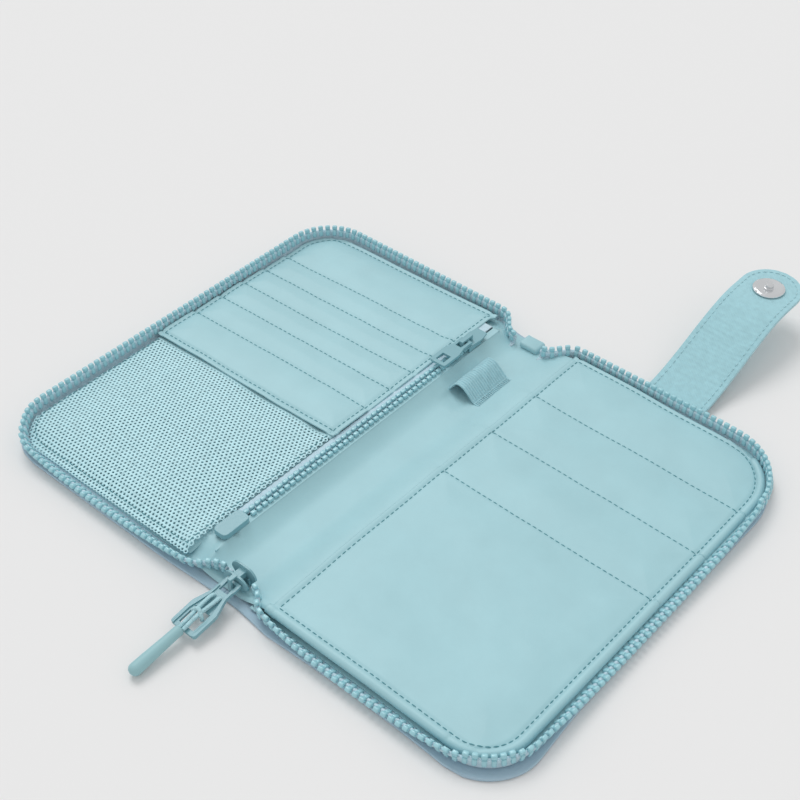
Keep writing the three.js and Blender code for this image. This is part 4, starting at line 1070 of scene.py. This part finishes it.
STRAP_X = 68.5
STRAP_HALF = 14.0
STRAP_ROOT_Y = 100.2
STRAP_ROOT_Z = 1.7
STRAP_FLAT_Y = 168.2
STRAP_FLAT_Z = 18.4
STRAP_TIP_Y = 191.0
STRAP_THICKNESS = 1.9
STRAP_BOW = 0.3
STRAP_BEVEL = 0.5
STRAP_STITCH_INSET = 2.2
STRAP_ROWS = 150
STRAP_COLUMNS = 36


def strap_height(x, y):
    rise = smoothstep((y - STRAP_ROOT_Y) / (STRAP_FLAT_Y - STRAP_ROOT_Y))
    bow = STRAP_BOW * ((x - STRAP_X) / STRAP_HALF) ** 2
    return STRAP_ROOT_Z + (STRAP_FLAT_Z - STRAP_ROOT_Z) * rise + STRAP_THICKNESS - bow


def make_strap():
    round_from = STRAP_TIP_Y - STRAP_HALF
    points = []
    for row in range(STRAP_ROWS):
        y = STRAP_ROOT_Y + (STRAP_TIP_Y - STRAP_ROOT_Y) * row / (STRAP_ROWS - 1)
        over = min(max(y - round_from, 0.0), STRAP_HALF * 0.9995)
        half = math.sqrt(STRAP_HALF ** 2 - over ** 2)
        for column in range(STRAP_COLUMNS):
            x = STRAP_X + half * (2 * column / (STRAP_COLUMNS - 1) - 1)
            points.append((x, y, strap_height(x, y)))
    strap = new_piece("strap_twill", points, grid_faces(STRAP_ROWS, STRAP_COLUMNS), TWILL)
    thicken(strap, STRAP_THICKNESS)
    round_edges(strap, STRAP_BEVEL * MM, 3, 50)
    inset = STRAP_HALF - STRAP_STITCH_INSET
    route = [(STRAP_X - inset, STRAP_ROOT_Y + 1)]
    route += corner_arc(STRAP_X, round_from, inset, np.linspace(math.pi, 0, 21))
    route += [(STRAP_X + inset, STRAP_ROOT_Y + 1)]
    thread = Cluster()
    stitches_along(thread, route, strap_height, 2.0, 2.9, 0.26, 0.12)
    stitching = thread.build("strap_stitching", CORD)
    for piece in (strap, stitching):
        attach(piece, "right_cover")
    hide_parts("strap_face", "strap_back")


# Cord and grip of the main pull

PULL_PIVOT = (3.0, -94.5, 6.8)
PULL_SLOPE = math.radians(7.5)
CORD_RADIUS = 0.85
CORD_Z = 1.55
GRIP_START = 27.0
GRIP_LENGTH = 24.4
GRIP_START_Z = 1.75
GRIP_REST_Z = 2.8
GRIP_NEAR_RADIUS = 2.1
GRIP_FAR_RADIUS = 2.6
GRIP_SHOULDER = 0.7
GRIP_STEPS = 44
GRIP_SIDES = 28


def pull_place(x, y, z):
    """From the pull's own frame, which slopes down from its pivot, to the wallet's."""
    cosine = math.cos(PULL_SLOPE)
    sine = math.sin(PULL_SLOPE)
    return (PULL_PIVOT[0] + x, PULL_PIVOT[1] + y * cosine - z * sine, PULL_PIVOT[2] + y * sine + z * cosine)


def smooth_route(points, count):
    """A soft curve through a few places."""
    spots = [np.array(p, float) for p in points]
    padded = [2 * spots[0] - spots[1]] + spots + [2 * spots[-1] - spots[-2]]
    route = []
    for i in range(1, len(padded) - 2):
        a, b, c, d = padded[i - 1:i + 3]
        for t in np.linspace(0, 1, count, endpoint=False):
            route.append(0.5 * (2 * b + (c - a) * t + (2 * a - 5 * b + 4 * c - d) * t * t
                                + (3 * b - a - 3 * c + d) * t ** 3))
    route.append(spots[-1])
    return route


def make_cord():
    braid = Cluster()
    for side in (-1, 1):
        strand = [(1.35, -8.3, 0.1), (1.5, -8.9, 1.2), (1.6, -11.5, CORD_Z + 0.2),
                  (1.15, -17.5, CORD_Z + 0.5), (0.95, -22.5, CORD_Z + 0.35), (0.9, -26.6, CORD_Z)]
        route = smooth_route([(side * x, y, z) for x, y, z in strand], 16)
        ribbed = len(route) - 1
        braid.add(*tube([pull_place(*p) for p in route],
                        lambda share: CORD_RADIUS * (0.95 + 0.06 * math.sin(share * ribbed * 1.9)), 10))
    band = smooth_route([(-2.5, -18.0, -0.2), (-2.4, -18.2, 1.8), (0.0, -17.4, 3.3), (2.4, -18.6, 1.8),
                         (2.5, -18.8, -0.2)], 14)
    braid.add(*tube([pull_place(*p) for p in band], CORD_RADIUS * 0.95, 10))
    cord = braid.build("braided_cord", CORD)
    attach(cord, "main_pull")
    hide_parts("pull_cord_loop")


def grip_radius(along):
    """The grip swells towards its far end, which is round, and has a small shoulder at the near one."""
    radius = GRIP_NEAR_RADIUS + (GRIP_FAR_RADIUS - GRIP_NEAR_RADIUS) * smoothstep(along / GRIP_LENGTH)
    left = GRIP_LENGTH - along
    if left < GRIP_FAR_RADIUS:
        radius *= math.sqrt(max(1 - ((GRIP_FAR_RADIUS - left) / GRIP_FAR_RADIUS) ** 2, 0.0004))
    if along < GRIP_SHOULDER:
        radius *= 0.8 + 0.2 * math.sqrt(1 - (1 - along / GRIP_SHOULDER) ** 2)
    return radius


def make_grip():
    x, y, z = pull_place(0.0, -GRIP_START, GRIP_START_Z)
    tilt = math.asin((z - GRIP_REST_Z) / GRIP_LENGTH)
    places = [GRIP_LENGTH * i / GRIP_STEPS for i in range(GRIP_STEPS + 1)]
    path = [(x, y - along * math.cos(tilt), z - along * math.sin(tilt)) for along in places]
    form = tube(path, lambda share: grip_radius(places[round(share * GRIP_STEPS)]), GRIP_SIDES)
    grip = new_piece("rubber_grip", *form, RUBBER)
    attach(grip, "main_pull")
    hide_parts("pull_grip")


# Stage


FLOOR_HALF = 3.0
FLOOR_DROP = 0.0002
SUN_STRENGTH = 1.08
SUN_SPREAD = math.radians(32)
SUN_FROM = Vector((-0.78, 0.42, 1.35))
SKY_STRENGTH = 0.71


def make_stage():
    mesh = bpy.data.meshes.new("floor")
    corners = [(x * FLOOR_HALF, y * FLOOR_HALF, 0) for x, y in ((-1, -1), (1, -1), (1, 1), (-1, 1))]
    mesh.from_pydata(corners, [], [(0, 1, 2, 3)])
    floor = bpy.data.objects.new("floor", mesh)
    bpy.context.collection.objects.link(floor)
    made = bpy.data.materials.new("pale_floor")
    made.use_nodes = True
    shader = made.node_tree.nodes["Principled BSDF"]
    shader.inputs["Base Color"].default_value = rgb(232, 232, 232)
    shader.inputs["Roughness"].default_value = 0.9
    mesh.materials.append(made)
    floor.location.z = -FLOOR_DROP


def make_lights():
    data = bpy.data.lights.new("key", "SUN")
    data.energy = SUN_STRENGTH
    data.angle = SUN_SPREAD
    sun = bpy.data.objects.new("key", data)
    sun.rotation_euler = (-SUN_FROM).to_track_quat("-Z", "Y").to_euler()
    bpy.context.collection.objects.link(sun)
    world = bpy.context.scene.world or bpy.data.worlds.new("world")
    bpy.context.scene.world = world
    world.use_nodes = True
    sky = world.node_tree.nodes["Background"]
    sky.inputs["Color"].default_value = (1.0, 1.0, 1.0, 1.0)
    sky.inputs["Strength"].default_value = SKY_STRENGTH


def make_camera():
    azimuth = math.radians(CAMERA_AZIMUTH)
    elevation = math.radians(CAMERA_ELEVATION)
    back = Vector((math.sin(azimuth) * math.cos(elevation), -math.cos(azimuth) * math.cos(elevation),
                   math.sin(elevation)))
    data = bpy.data.cameras.new("camera")
    data.lens = CAMERA_LENS
    data.sensor_width = CAMERA_SENSOR
    data.clip_start = 0.01
    camera = bpy.data.objects.new("camera", data)
    camera.location = CAMERA_TARGET + back * CAMERA_DISTANCE
    camera.rotation_euler = (-back).to_track_quat("-Z", "Y").to_euler()
    bpy.context.collection.objects.link(camera)
    bpy.context.scene.camera = camera


WELD_DISTANCE = 0.00001
SOLID_BEVEL = 0.0002
NODE_FINISH = {
    "lining": LINING, "gusset": LINING, "board": BOARD, "snap_": NICKEL, "slider": ENAMEL,
    "main_pull": ENAMEL, "pocket_pull": ENAMEL, "stop": ENAMEL,
}


def dress_nodes():
    """The solids that stay get their finish and softened edges."""
    for name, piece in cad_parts.items():
        for part, material in NODE_FINISH.items():
            if part in name:
                for place in piece.material_slots:
                    place.material = material
        modifier(piece, "WELD", merge_threshold=WELD_DISTANCE)
        round_edges(piece, SOLID_BEVEL, 2, 35)


make_camera()
make_stage()
make_lights()
dress_nodes()
make_left_panel()
make_net()
make_net_hem()
make_right_panel()
make_binding()
make_spine_lining()
make_edge_zip()
make_shell()
make_pocket_zip()
make_pen_loop()
make_end_tab()
make_strap()
make_cord()
make_grip()

bpy.context.scene.view_settings.view_transform = "Standard"
